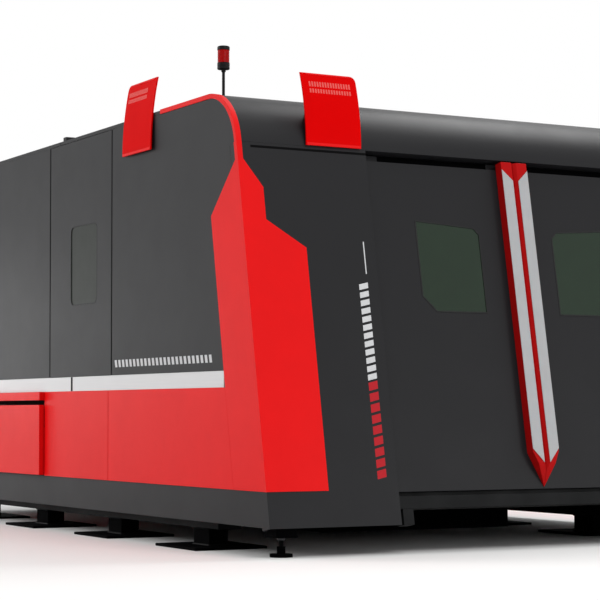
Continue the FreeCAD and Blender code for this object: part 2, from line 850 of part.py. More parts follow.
def fume_plenum():
    """A flat sheet duct with an inlet behind each bay and a hose collar at the rear."""
    outer = box("plenum_outer", PLENUM_X, PLENUM_Y, ("plenum_bottom", BEAM_TOP))
    collar_z = f"(plenum_bottom + ({BEAM_TOP} - plenum_bottom) / 2)"
    length = "(collar_length + bed_rear_gap / 2 + plenum_wall)"
    start = less(PLENUM_Y[1], "plenum_wall")
    along = Vector(0, 1, 0)
    collar = cylinder(
        "collar_outer", "collar_diameter / 2", length, PLENUM_MIDDLE, start, collar_z, along
    )
    bore = cylinder(
        "collar_bore",
        "collar_diameter / 2 - plenum_wall",
        length,
        PLENUM_MIDDLE,
        start,
        collar_z,
        along,
    )
    hollow = box(
        "plenum_hollow",
        (more(PLENUM_X[0], "plenum_wall"), less(PLENUM_X[1], "plenum_wall")),
        (more(PLENUM_Y[0], "plenum_wall"), less(PLENUM_Y[1], "plenum_wall")),
        ("plenum_bottom + plenum_wall", less(BEAM_TOP, "plenum_wall")),
    )
    inlets = []
    for number, middle in enumerate((UPRIGHTS[1], UPRIGHTS[2]), start=1):
        inlets.append(
            box(
                f"plenum_inlet_{number}",
                around(PLENUM_MIDDLE, "inlet_length"),
                around(less(middle, "2 * inlet_width"), "inlet_width"),
                (less(BEAM_TOP, "plenum_wall"), BEAM_TOP),
            )
        )
    return cut("fume_plenum", fuse("plenum_shell", [outer, collar]), [hollow, bore] + inlets)


# ------------------------------------------------- frames behind the panels

REAR_IN = less(REAR, "panel_depth")
SIDE_DOOR = (
    less(DRAWER_ONE, "door_to_drawer + side_door_width"),
    less(DRAWER_ONE, "door_to_drawer"),
)
FRAME_LOW = "(base_height + frame_lift)"
FRAME_TOP = "(roof_height - roof_thickness)"
BACK_DEPTH = "(column_side + sheet_thickness)"
POST_ONE = less(SIDE_DOOR[0], "frame_tube * 2 / 3")
POST_TWO = less(SIDE_DOOR[1], "frame_tube / 3")
POST_THREE = more(DRAWER_END, "drawer_gap / 2")
MID_RAIL = ("stripe_bottom", "stripe_top")


def frame_tube(name, side, corners):
    """A welded tube behind a side wall, from its outline in the wall's plane."""
    body = new_body(name)
    sketch = outline(body, "YZ_Plane", corners, f"{name}_outline")
    pad(body, sketch, "frame_thickness", f"{name}_pad")
    return place(body, from_wall(side, "panel_depth" if side == "left" else FRAME_IN))


def side_frame(side):
    """The welded tubes behind a side wall, butted end to side, with a leaning post in front."""
    inner = f"({BACK_DEPTH} + frame_tube)"
    bend = "(nose_lip - frame_tube / 2)"
    high = less(FRAME_TOP, "frame_tube")
    nose_end = more(NOSE_Y, "frame_tube / 2")
    rear_post = (less(REAR_IN, "frame_tube"), REAR_IN)
    tubes = {
        "sill": [
            (front_y(BACK_DEPTH, FRAME_LOW), FRAME_LOW),
            (REAR_IN, FRAME_LOW),
            (REAR_IN, "skirt_top"),
            (front_y(BACK_DEPTH, "skirt_top"), "skirt_top"),
        ],
        "leaning_post": [
            (front_y(BACK_DEPTH, "skirt_top"), "skirt_top"),
            (front_y(inner, "skirt_top"), "skirt_top"),
            (front_y(inner, bend), bend),
            (front_y(BACK_DEPTH, "nose_lip"), "nose_lip"),
        ],
        "brow": [
            (front_y(BACK_DEPTH, "nose_lip"), "nose_lip"),
            (front_y(inner, bend), bend),
            (nose_end, high),
            (nose_end, FRAME_TOP),
            (NOSE_Y, FRAME_TOP),
        ],
        "front_rail": [
            (front_y(inner, MID_RAIL[0]), MID_RAIL[0]),
            (POST_TWO, MID_RAIL[0]),
            (POST_TWO, MID_RAIL[1]),
            (front_y(inner, MID_RAIL[1]), MID_RAIL[1]),
        ],
        "top_rail": rectangle((nose_end, high), (REAR_IN, FRAME_TOP)),
        "rear_post": rectangle((rear_post[0], "skirt_top"), (rear_post[1], high)),
        "door_post": rectangle((POST_ONE, MID_RAIL[1]), (more(POST_ONE, "frame_tube"), high)),
        "middle_post": rectangle((POST_TWO, "skirt_top"), (more(POST_TWO, "frame_tube"), high)),
        "drawer_post": rectangle(
            (POST_THREE, "skirt_top"), (more(POST_THREE, "frame_tube"), MID_RAIL[0])
        ),
        "rear_rail": rectangle(
            (more(POST_TWO, "frame_tube"), MID_RAIL[0]), (rear_post[0], MID_RAIL[1])
        ),
    }
    name = f"frame_{side}"
    return group(
        name,
        [frame_tube(f"{name}_{part}", side, corners) for part, corners in tubes.items()],
    )


def roof_cross_tubes():
    """Tubes between the two side frames, under the joints of the roof."""
    span = (from_wall("left", FRAME_IN), from_wall("right", FRAME_IN))
    middles = (
        more(NOSE_Y, "frame_tube"),
        behind_front("roof_seam"),
        less(REAR, "roof_tray_seam"),
        less(REAR_IN, "roof_tube / 2"),
    )
    tubes = [
        box(
            f"roof_tube_{number}",
            span,
            around(middle, "roof_tube"),
            (less(FRAME_TOP, "roof_tube"), FRAME_TOP),
        )
        for number, middle in enumerate(middles, start=1)
    ]
    return group("roof_cross_tubes", tubes)


# ------------------------------------------------------------- wall panels


def cover_edge_y(height):
    """Y of the corner cover's rear edge, and so of the panels that start there."""
    return front_y("cover_side_depth", height)


def upper_front_panel(side):
    """The dark panel from the column to the side door, curved under the bullnose."""
    inner_radius = "(nose_radius - roof_thickness)"
    tangent_y = f"({NOSE_Y} - {inner_radius} * cos(lean))"
    tangent_z = f"({NOSE_Z} + {inner_radius} * sin(lean))"
    lip = up_slope("nose_lip")
    corners = [
        (front_y(BACK_DEPTH, "stripe_top"), "stripe_top"),
        (less(SIDE_DOOR[0], "panel_gap / 2"), "stripe_top"),
        (less(SIDE_DOOR[0], "panel_gap / 2"), FRAME_TOP),
        (NOSE_Y, FRAME_TOP, inner_radius),
        (tangent_y, tangent_z),
        lean_yz("roof_thickness", lip),
        lean_yz(BACK_DEPTH, lip),
    ]
    return wall_piece(f"{side}_panel_front", side, corners)


def upper_rear_panel(side):
    corners = rectangle(
        (more(SIDE_DOOR[1], "panel_gap / 2"), "stripe_top"), (REAR_IN, FRAME_TOP)
    )
    return wall_piece(f"{side}_panel_rear", side, corners)


def side_door(side, name, with_window):
    """A swinging door between the seams, its edge folds just clear of the frame."""
    ends = (more(SIDE_DOOR[0], "panel_gap / 2"), less(SIDE_DOOR[1], "panel_gap / 2"))
    low = more("stripe_top", "panel_gap / 2")
    high = less(FRAME_TOP, "panel_gap / 2")
    corners = rectangle((ends[0], low), (ends[1], high))
    body = wall_piece(name, side, corners, depth="panel_depth - running_gap")
    if side == "right":
        place(body, more(from_wall("right", "panel_depth"), "running_gap"))
    if with_window:
        opening = rounded_rectangle(*SIDE_WINDOW, "side_window_corner")
        sketch = outline(body, "YZ_Plane", opening, f"{name}_window_outline")
        pocket(body, sketch, f"{name}_opening")
    return body


SIDE_WINDOW = (
    (more(SIDE_DOOR[0], "side_window_start"), "side_window_bottom"),
    (
        more(SIDE_DOOR[0], "side_window_start + side_window_width"),
        "side_window_bottom + side_window_height",
    ),
)


def side_door_window():
    """A pane behind the opening of the side door."""
    low, high = SIDE_WINDOW
    corners = rounded_rectangle(
        (less(low[0], "pane_lap"), less(low[1], "pane_lap")),
        (more(high[0], "pane_lap"), more(high[1], "pane_lap")),
        "side_window_corner + pane_lap",
    )
    body = wall_piece(
        "side_door_window", "left", corners, depth="pane_thickness", hollow=False
    )
    return place(body, from_wall("left", "sheet_thickness"))


def red_panel(side, ends, name):
    """A red panel between two distances, or from the corner cover's slanted edge."""
    start, end = ends
    if start is None:
        first = more(cover_edge_y("skirt_top"), "panel_gap / 4")
        last = more(cover_edge_y("stripe_bottom"), "panel_gap / 4")
    else:
        first = last = start
    corners = [
        (first, "skirt_top"),
        (end, "skirt_top"),
        (end, "stripe_bottom"),
        (last, "stripe_bottom"),
    ]
    return wall_piece(name, side, corners, proud="cover_thickness")


def stripe(side):
    """The bright profile along the side, in two lengths."""
    lengths = (
        (more(cover_edge_y("stripe_top"), "panel_gap / 4"), more(SIDE_DOOR[0], "stripe_seam")),
        (more(SIDE_DOOR[0], "stripe_seam + panel_gap / 4"), REAR_IN),
    )
    profiles = []
    for number, (start, end) in enumerate(lengths, start=1):
        profiles.append(
            box(
                f"stripe_{side}_{number}",
                (from_wall(side, "-stripe_proud"), from_wall(side, "panel_depth")),
                (start, end),
                ("stripe_bottom", "stripe_top"),
            )
        )
    return profiles


def skirt(side):
    """The dark panel below the red ones."""
    corners = [
        (front_y(BACK_DEPTH, "base_height"), "base_height"),
        (REAR_IN, "base_height"),
        (REAR_IN, "skirt_top"),
        (front_y(BACK_DEPTH, "skirt_top"), "skirt_top"),
    ]
    return wall_piece(f"skirt_{side}", side, corners, proud="-skirt_recess")


def drawer_hood():
    """A folded channel over the finger slot of the drawers."""
    body = new_body("drawer_hood")
    sketch = outline(
        body,
        "YZ_Plane",
        rectangle((DRAWER_ONE, "hood_bottom"), (DRAWER_END, "stripe_bottom")),
        "hood_outline",
    )
    feature = pad(body, sketch, "drawer_proud + panel_depth", "hood_pad")
    place(body, from_wall("left", "-drawer_proud"))
    shell(body, feature, Vector(1, 0, 0), "sheet_thickness", "hood_fold")
    return body


def rear_panel(name, low, high):
    """A folded panel of the rear wall, open towards the inside."""
    body = new_body(name)
    corners = rectangle((WALL_LEFT, low), (WALL_RIGHT, high))
    sketch = outline(body, "XZ_Plane", corners, f"{name}_outline")
    feature = pad(body, sketch, "panel_depth", f"{name}_pad", backward=True)
    place(body, y=REAR_IN)
    shell(body, feature, Vector(0, -1, 0), "sheet_thickness", f"{name}_fold")
    return body


# -------------------------------------------------------------------- roof


def nose_point(offset):
    """Y and Z where the bullnose runs into the leaning front, off its surface."""
    radius = f"(nose_radius + ({offset}))"
    return f"({NOSE_Y} - {radius} * cos(lean))", f"({NOSE_Z} + {radius} * sin(lean))"


LIP = up_slope("nose_lip")


def roof_front():
    """The bullnose sheet, with a lip turned back over the doors and a rear fold."""
    body = new_body("roof_front")
    inner = "(-sheet_thickness)"
    seam = behind_front("roof_seam - panel_gap / 2")
    corners = [
        (seam, "roof_height"),
        (NOSE_Y, "roof_height", "nose_radius"),
        nose_point("0"),
        lean_yz("0", LIP),
        lean_yz(BACK_DEPTH, LIP),
        lean_yz(BACK_DEPTH, more(LIP, "sheet_thickness")),
        lean_yz("sheet_thickness", more(LIP, "sheet_thickness")),
        (*nose_point(inner), more("nose_radius", inner), True),
        (NOSE_Y, more("roof_height", inner)),
        (more(seam, inner), more("roof_height", inner)),
        (more(seam, inner), FRAME_TOP),
        (seam, FRAME_TOP),
    ]
    sketch = outline(body, "YZ_Plane", corners, "roof_front_outline")
    pad(body, sketch, "width - 2 * trim_width", "roof_front_pad")
    return place(body, from_wall("left", "trim_width"))


def roof_trim(side):
    """The red edge along the roof's end: flat on top, round the nose, to the cover."""
    body = doc.addObject("PartDesign::Body", f"roof_trim_{side}")
    outer, inner = "trim_proud", "(-roof_thickness)"
    tail = behind_front("roof_seam - panel_gap / 2")
    corners = [
        (tail, more("roof_height", outer)),
        (NOSE_Y, more("roof_height", outer), more("nose_radius", outer)),
        nose_point(outer),
        lean_yz(less("0", outer), LIP),
        lean_yz(less("0", inner), LIP),
        (*nose_point(inner), more("nose_radius", inner), True),
        (NOSE_Y, more("roof_height", inner)),
        (tail, more("roof_height", inner)),
    ]
    sketch = outline(body, "YZ_Plane", corners, f"roof_trim_{side}_outline")
    pad(body, sketch, "trim_width + trim_proud", f"roof_trim_{side}_pad")
    start = "-trim_proud" if side == "left" else "trim_width"
    return place(body, from_wall(side, start))


def roof_trays():
    """Two folded trays, open below, and the joint cover between them."""
    seams = (
        (behind_front("roof_seam + panel_gap / 2"), less(REAR, "roof_tray_seam + panel_gap / 2")),
        (less(REAR, "roof_tray_seam - panel_gap / 2"), REAR),
    )
    trays = []
    for number, (start, end) in enumerate(seams, start=1):
        body = doc.addObject("PartDesign::Body", f"roof_tray_{number}")
        corners = rectangle((WALL_LEFT, start), (WALL_RIGHT, end))
        sketch = outline(body, "XY_Plane", corners, f"roof_tray_{number}_outline")
        feature = pad(body, sketch, "roof_thickness", f"roof_tray_{number}_pad")
        place(body, z=FRAME_TOP)
        shell(body, feature, Vector(0, 0, -1), "sheet_thickness", f"roof_tray_{number}_fold")
        trays.append(body)
    rib = box(
        "roof_rib",
        (from_wall("left", "trim_width"), from_wall("right", "trim_width")),
        around(less(REAR, "roof_tray_seam"), "rib_width"),
        ("roof_height", "roof_height + rib_height"),
    )
    return group("roof_trays", trays + [rib])


# ----------------------------------------------------------- leaning front


def column(side):
    """A front column: one bent sheet, extruded up the slope to the bullnose."""
    name = f"column_{side}"
    body = new_body(name)
    t = "sheet_thickness"
    inner_edge, wall = "column_width", "0"
    profile = [
        (inner_edge, "column_depth"),
        (inner_edge, "0"),
        (wall, "0"),
        (wall, more("column_side", t)),
        ("column_return", more("column_side", t)),
        ("column_return", "column_side"),
        (t, "column_side"),
        (t, t),
        (less(inner_edge, t), t),
        (less(inner_edge, t), "column_depth"),
    ]
    corners = [(from_wall(side, across), depth) for across, depth in profile]
    sketch = outline(body, "XY_Plane", corners, f"{name}_outline")
    pad(body, sketch, LIP, f"{name}_pad")
    return tilt(body)


def corner_cover(side):
    """A sheet bent round the corner, stepped on the front and slanted on the side."""
    name = f"corner_cover_{side}"
    out = "-cover_thickness"
    front = doc.addObject("PartDesign::Body", f"{name}_front")
    profile = [
        (out, "skirt_top"),
        ("cover_width", "skirt_top"),
        ("cover_width", "cover_shoulder"),
        ("cover_neck_width", "cover_neck"),
        ("cover_neck_width", "cover_neck_top"),
        ("trim_width", "cover_apex"),
        ("trim_width", "nose_lip"),
        (out, "nose_lip"),
    ]
    corners = [(from_wall(side, across), up_slope(height)) for across, height in profile]
    sketch = outline(front, "XZ_Plane", corners, f"{name}_front_outline")
    pad(front, sketch, "cover_thickness", f"{name}_front_pad", backward=True)
    tilt(front, "-cover_thickness")
    wing = doc.addObject("PartDesign::Body", f"{name}_side")
    corners = [
        (front_y(out, "skirt_top"), "skirt_top"),
        (cover_edge_y("skirt_top"), "skirt_top"),
        (cover_edge_y("cover_side_top"), "cover_side_top"),
        lean_yz("trim_width", up_slope("cover_apex")),
        lean_yz("trim_width", LIP),
        lean_yz(out, LIP),
    ]
    sketch = outline(wing, "YZ_Plane", corners, f"{name}_side_outline")
    pad(wing, sketch, "cover_thickness", f"{name}_side_pad")
    place(wing, from_wall(side, out if side == "left" else "0"))
    return fuse(name, [front, wing])


def sill_frame():
    """The tube under the doors with the lower door guide, and its two legs."""
    depth = ("sill_recess", "sill_recess + sill_depth")
    span = (from_wall("left", "column_width"), from_wall("right", "column_width"))
    tube_up = (up_slope("sill_bottom"), up_slope("sill_top"))
    tube = lean_box("sill_tube", span, depth, tube_up)
    legs = []
    for side in SIDES:
        leg = (
            from_wall(side, "column_width + sill_leg_gap"),
            from_wall(side, "column_width + sill_leg_gap + sill_depth"),
        )
        legs.append(lean_box(f"sill_leg_{side}", leg, depth, ("0", up_slope("sill_bottom"))))
    leaf_back = "(door_recess + door_thickness + running_gap)"
    guide = (up_slope("sill_top"), more(up_slope("sill_top"), "guide_height"))
    guide_depth = (leaf_back, more(leaf_back, "sheet_thickness"))
    lower_guide = lean_box("door_guide", span, guide_depth, guide)
    return [fuse("sill_frame", [tube, lower_guide]), group("sill_legs", legs)]


LEAF_BACK = "(door_recess + door_thickness)"
HEADER = (BACK_DEPTH, f"({BACK_DEPTH} + header_depth)")


def door_header():
    """The tube over the doors, between the two side frames."""
    up = up_slope("header_bottom")
    span = (from_wall("left", FRAME_IN), from_wall("right", FRAME_IN))
    tube = lean_box("door_header", span, HEADER, (up, more(up, "header_height")))
    return labelled(tube, "door_header")


def door_rail():
    """The rail that both doors hang on, on the front of the header."""
    up = up_slope("rail_bottom")
    depth = (more(LEAF_BACK, "running_gap"), BACK_DEPTH)
    inset = more("column_return", "panel_gap")
    span = (from_wall("left", inset), from_wall("right", inset))
    rail = lean_box("door_rail", span, depth, (up, more(up, "rail_height")))
    return labelled(rail, "door_rail")


def window_corners(side, grow="0"):
    """The door window's outline across the front and up its slope."""
    low, high = up_slope("window_bottom"), up_slope("window_top")
    low, high = less(low, grow), more(high, grow)
    inner, outer = less("window_inner", grow), more("window_outer", grow)
    longer = f"({grow}) * {CUT_SHARE}"
    profile = [
        (inner, low),
        (less(outer, f"window_chamfer + {longer}"), low),
        (outer, more(low, f"window_chamfer + {longer}")),
        (outer, more(high, "window_rise")),
        (more(inner, f"window_cut + {longer}"), high),
        (inner, less(high, f"window_cut + {longer}")),
    ]
    return [(from_middle(side, across), up) for across, up in profile]


DOOR_X = {
    side: (
        from_wall(side, "column_width - door_overlap"),
        from_middle(side, "door_centre_gap / 2"),
    )
    for side in SIDES
}


def door_leaf(side):
    """A sliding leaf: a folded tray with hanger tabs and a window opening."""
    name = f"door_{side}_leaf"
    body = new_body(name)
    start, end = DOOR_X[side]
    low, high = up_slope("door_bottom"), up_slope("door_top")
    sketch = outline(
        body, "XZ_Plane", rectangle((start, low), (end, high)), f"{name}_outline"
    )
    feature = pad(body, sketch, "door_thickness", f"{name}_pad", backward=True)
    shell(body, feature, Vector(0, 1, 0), "sheet_thickness", f"{name}_fold")
    opening = outline(body, "XZ_Plane", window_corners(side), f"{name}_window_outline")
    pocket(body, opening, f"{name}_opening")
    tilt(body, "door_recess")
    tabs = []
    tab_depth = (less(LEAF_BACK, "sheet_thickness * 2"), LEAF_BACK)
    tab_up = (less(high, "sheet_thickness"), up_slope("hanger_top"))
    toward = "+" if side == "left" else "-"
    for number, inset in enumerate(
        ("hanger_inset", "width / 2 - column_width + door_overlap - hanger_inset"), start=1
    ):
        middle = f"({start} {toward} ({inset}))"
        tabs.append(
            lean_box(f"{name}_tab_{number}", around(middle, "hanger_width"), tab_depth, tab_up)
        )
    return fuse(name, [labelled(body, f"{name}_sheet")] + tabs)


def door_window(side):
    """A pane behind the leaf's opening."""
    name = f"door_{side}_window"
    body = new_body(name)
    corners = window_corners(side, "pane_lap")
    sketch = outline(body, "XZ_Plane", corners, f"{name}_outline")
    pad(body, sketch, "pane_thickness", f"{name}_pad", backward=True)
    return tilt(body, "door_recess + sheet_thickness")


def door_strip(side):
    """Half of the strip between the doors, drawn across and in depth, cut to a keel."""
    name = f"door_{side}_strip"
    body = doc.addObject("PartDesign::Body", f"{name}_bar")
    half = "strip_width / 2"
    face = "(door_recess - strip_proud)"
    edge = "door_centre_gap / 2"
    profile = [
        (half, "door_recess"),
        (half, face),
        ("strip_width / 2 - bar_width", face),
        (edge, more(face, "groove_depth")),
        (edge, "door_recess"),
    ]
    corners = [(from_middle(side, across), depth) for across, depth in profile]
    sketch = outline(body, "XY_Plane", corners, f"{name}_outline")
    start = up_slope("strip_point")
    pad(body, sketch, less(up_slope("strip_top"), start), f"{name}_pad")
    tilt(body, "0", start)
    keel = doc.addObject("PartDesign::Body", f"{name}_keel")
    slack = "strip_width"
    corners = [
        (from_middle(side, more(half, slack)), more(up_slope("bar_end_outer"), slack)),
        (from_middle(side, half), less(up_slope("bar_end_outer"), "groove_depth")),
        (from_middle(side, "0"), start),
        (from_middle(side, "0"), less(start, slack)),
        (from_middle(side, more(half, slack)), less(start, slack)),
    ]
    sketch = outline(keel, "XZ_Plane", corners, f"{name}_keel_outline")
    pad(keel, sketch, "2 * strip_proud", f"{name}_keel_pad", backward=True)
    tilt(keel, less("door_recess", "1.5 * strip_proud"))
    prow = doc.addObject("PartDesign::Body", f"{name}_prow")
    corners = [
        (less(face, "strip_proud"), less(start, slack)),
        (less("door_recess", "sheet_thickness"), start),
        (less(face, "sheet_thickness"), up_slope("bar_end_inner")),
        (less(face, "strip_proud"), up_slope("bar_end_inner")),
    ]
    sketch = outline(prow, "YZ_Plane", corners, f"{name}_prow_outline")
    pad(prow, sketch, "strip_width", f"{name}_prow_pad")
    tilt(prow)
    place(prow, from_middle("left", half))
    return cut(name, body, [keel, prow])


def light_bar(side):
    """A pale bar on half of the strip, notched above and pointed below."""
    name = f"door_{side}_bar"
    body = new_body(name)
    outer, inner = "strip_width / 2", "strip_width / 2 - bar_width"
    profile = [
        (outer, "bar_end_outer"),
        (outer, "bar_top_outer"),
        (inner, "bar_top_inner"),
        (inner, "bar_end_inner"),
    ]
    corners = [(from_middle(side, across), up_slope(height)) for across, height in profile]
    sketch = outline(body, "XZ_Plane", corners, f"{name}_outline")
    pad(body, sketch, "bar_thickness", f"{name}_pad", backward=True)
    return tilt(body, "door_recess - strip_proud - bar_thickness")


# ----------------------------------------------------- flags and stack light


def round_off(body, plane, far, high, name):
    """Rounds a plate's far upper corner."""
    beyond = "flag_corner"
    corners = [
        (less(far, "flag_corner"), high, "flag_corner", True),
        (far, less(high, "flag_corner")),
        (more(far, beyond), less(high, "flag_corner")),
        (more(far, beyond), more(high, beyond)),
        (less(far, "flag_corner"), more(high, beyond)),
    ]
    sketch = outline(body, plane, corners, f"{name}_outline")
    pocket(body, sketch, name)


FLAG_FOOT_Y = front_y("-flag_foot", "flag_bottom")


def flag_middle_y(height):
    """Y of the middle of the front flag's bent plate, at a height."""
    rise = "(flag_top - flag_bottom)"
    chord = f"sqrt(pow(flag_reach; 2) + pow({rise}; 2))"
    back = f"(sqrt(pow(flag_radius; 2) - pow({chord} / 2; 2)) / {chord})"
    centre_y = f"({FLAG_FOOT_Y} + flag_reach / 2 + {back} * {rise})"
    centre_z = f"((flag_top + flag_bottom) / 2 - {back} * flag_reach)"
    radius = "(flag_radius - flag_thickness / 2)"
    return f"({centre_y} - sqrt(pow({radius}; 2) - pow({height} - {centre_z}; 2)))"


def front_flag():
    """A bent plate standing off the bullnose, on two ribs cut to both curves."""
    plate = doc.addObject("PartDesign::Body", "flag_front_plate")
    corners = [
        (more(FLAG_FOOT_Y, "flag_reach"), "flag_top", "flag_radius"),
        (FLAG_FOOT_Y, "flag_bottom"),
        (
            more(FLAG_FOOT_Y, "flag_thickness"),
            "flag_bottom",
            "flag_radius - flag_thickness",
            True,
        ),
        (more(FLAG_FOOT_Y, "flag_reach + flag_thickness"), "flag_top"),
    ]
    sketch = outline(plate, "YZ_Plane", corners, "flag_front_outline")
    pad(plate, sketch, "flag_width", "flag_front_pad")
    round_off(plate, "XZ_Plane", "flag_width", "flag_top", "flag_front_round")
    place(plate, from_wall("left", "flag_start"))
    ribs = []
    nose = cylinder(
        "flag_front_nose",
        "nose_radius",
        "flag_width",
        from_wall("left", "flag_start"),
        NOSE_Y,
        NOSE_Z,
        Vector(1, 0, 0),
    )
    insets = ("gusset_inset", "flag_width - gusset_inset - gusset_thickness")
    for number, inset in enumerate(insets, start=1):
        name = f"flag_front_rib_{number}"
        rib = doc.addObject("PartDesign::Body", name)
        corners = [
            (
                flag_middle_y("gusset_top"),
                "gusset_top",
                "flag_radius - flag_thickness / 2",
            ),
            (flag_middle_y("gusset_bottom"), "gusset_bottom"),
            (more(FLAG_FOOT_Y, "gusset_depth"), "gusset_bottom"),
            (more(FLAG_FOOT_Y, "gusset_depth"), "gusset_top"),
        ]
        sketch = outline(rib, "YZ_Plane", corners, f"{name}_outline")
        pad(rib, sketch, "gusset_thickness", f"{name}_pad")
        place(rib, from_wall("left", more("flag_start", inset)))
        ribs.append(rib)
    shaped = cut("flag_front_ribs", fuse("flag_ribs", ribs), [nose])
    return fuse("flag_front", [plate, shaped])


def side_flag():
    """A plate that stands off the left wall and leans in over the roof's edge."""
    plate = doc.addObject("PartDesign::Body", "flag_side_plate")
    rise = "(side_flag_top - side_flag_bottom)"
    out = from_wall("left", "-side_flag_gap - flag_thickness")
    lean_in = f"(side_flag_radius - sqrt(pow(side_flag_radius; 2) - pow({rise}; 2)))"
    corners = [
        (more(out, lean_in), "side_flag_top", "side_flag_radius"),
        (out, "side_flag_bottom"),
        (more(out, "flag_thickness"), "side_flag_bottom", "side_flag_radius", True),
        (more(out, f"flag_thickness + {lean_in}"), "side_flag_top"),
    ]
    sketch = outline(plate, "XZ_Plane", corners, "flag_side_outline")
    pad(plate, sketch, "side_flag_width", "flag_side_pad", backward=True)
    round_off(plate, "YZ_Plane", "side_flag_width", "side_flag_top", "flag_side_round")
    place(plate, y=behind_front("side_flag_start"))
    spacers = []
    for number, along in enumerate(("spacer_inset", "side_flag_width - spacer_inset"), start=1):
        spacers.append(
            box(
                f"flag_side_spacer_{number}",
                (from_wall("left", "-side_flag_gap - flag_thickness / 2"), WALL_LEFT),
                around(behind_front(more("side_flag_start", along)), "spacer_width"),
                around("side_flag_bottom + spacer_inset", "spacer_width"),
            )
        )
    return fuse("flag_side", [plate] + spacers)


def stack_light():
    """A signal lamp on a pole: pole, base and cap, and the lens between the last two."""
    x, y = from_wall("left", "light_x"), behind_front("light_y")
    radius = "light_diameter / 2"
    pole = cylinder(
        "light_pole", "light_pole / 2", less("light_bottom", "roof_height"), x, y, "roof_height"
    )
    base = cylinder(
        "light_base", radius, less("light_lens_bottom", "light_bottom"), x, y, "light_bottom"
    )
    lens = cylinder(
        "light_lens",
        "light_diameter / 2 - lens_inset",
        less("light_lens_top", "light_lens_bottom"),
        x,
        y,
        "light_lens_bottom",
    )
    cap = cylinder(
        "light_cap", radius, less("light_top", "light_lens_top"), x, y, "light_lens_top"
    )
    stem = fuse("light_stem", [pole, base])
    return [group("stack_light_stem", [stem, cap]), labelled(lens, "stack_light_lens")]


# ---------------------------------------------------------------- drawers

TRAY_BOTTOM = more(BEAM_TOP, "runner_height + running_gap")
TRAY_SIDE = "(slide_gap + upright_depth / 2 - drawer_gap / 2)"


def drawer_runners():
    """Bars from the bed's uprights over the plenum that the trays slide on."""
    reach = (from_beam("left", BEAM_INSIDE), PLENUM_X[1])
    half = "(upright_depth / 2 + slide_gap + runner_lap)"
    return [
        box(
            f"runner_{number}",
            reach,
            (less(middle, half), more(middle, half)),
            (BEAM_TOP, more(BEAM_TOP, "runner_height")),
        )
        for number, middle in enumerate(UPRIGHTS[2:], start=1)
    ]


def drawer(number, start):
    """A folded front on an open tray."""
    name = f"drawer_{number}"
    end = more(start, "drawer_width")
    face = doc.addObject("PartDesign::Body", f"{name}_face")
    corners = rectangle((start, "drawer_bottom"), (end, "drawer_top"))
    sketch = outline(face, "YZ_Plane", corners, f"{name}_face_outline")
    feature = pad(face, sketch, less("drawer_proud", "cover_thickness"), f"{name}_face_pad")
    place(face, from_wall("left", "-drawer_proud"))
    shell(face, feature, Vector(1, 0, 0), "sheet_thickness", f"{name}_face_fold")
    tray = doc.addObject("PartDesign::Body", f"{name}_tray")
    ends = (
        from_wall("left", "sheet_thickness - drawer_proud"),
        from_wall("left", "drawer_depth"),
    )
    corners = rectangle(
        (ends[0], more(start, TRAY_SIDE)), (ends[1], less(end, TRAY_SIDE))
    )
    sketch = outline(tray, "XY_Plane", corners, f"{name}_tray_outline")
    feature = pad(tray, sketch, "tray_height", f"{name}_tray_pad")
    place(tray, z=TRAY_BOTTOM)
    shell(tray, feature, Vector(0, 0, 1), "sheet_thickness", f"{name}_tray_fold")
    return fuse(name, [face, tray])


# ----------------------------------------------------------------- gantry

RAIL_TOP = f"({RAIL_BEAM_TOP} + rail_tall)"
GANTRY_Y = less(REAR, "gantry_rear")
GANTRY_FRONT = less(GANTRY_Y, "gantry_beam_depth / 2")
GANTRY_END = "(beam_width / 2 - gantry_side_gap)"
GANTRY_TOP = "(gantry_beam_bottom + gantry_beam_height)"
CARRIAGE_FRONT = less(GANTRY_FRONT, "x_rail_depth + running_gap + carriage_thickness")
CARRIAGE_X = more(from_beam("left", "-beam_width / 2"), "carriage_home")


def bed_rail(side):
    """The linear rail along the top of one bed beam."""
    return box(
        f"y_rail_{side}",
        around(from_beam(side, "0"), "rail_width"),
        BED_ENDS,
        (RAIL_BEAM_TOP, RAIL_TOP),
    )


def bed_racks():
    """The racks beside both rails."""
    racks = []
    for side in SIDES:
        racks.append(
            box(
                f"rack_{side}",
                (from_beam(side, "rack_side"), from_beam(side, "rack_side + rack_width")),
                BED_ENDS,
                (RAIL_BEAM_TOP, more(RAIL_BEAM_TOP, "rack_tall")),
            )
        )
    return group("y_racks", racks)


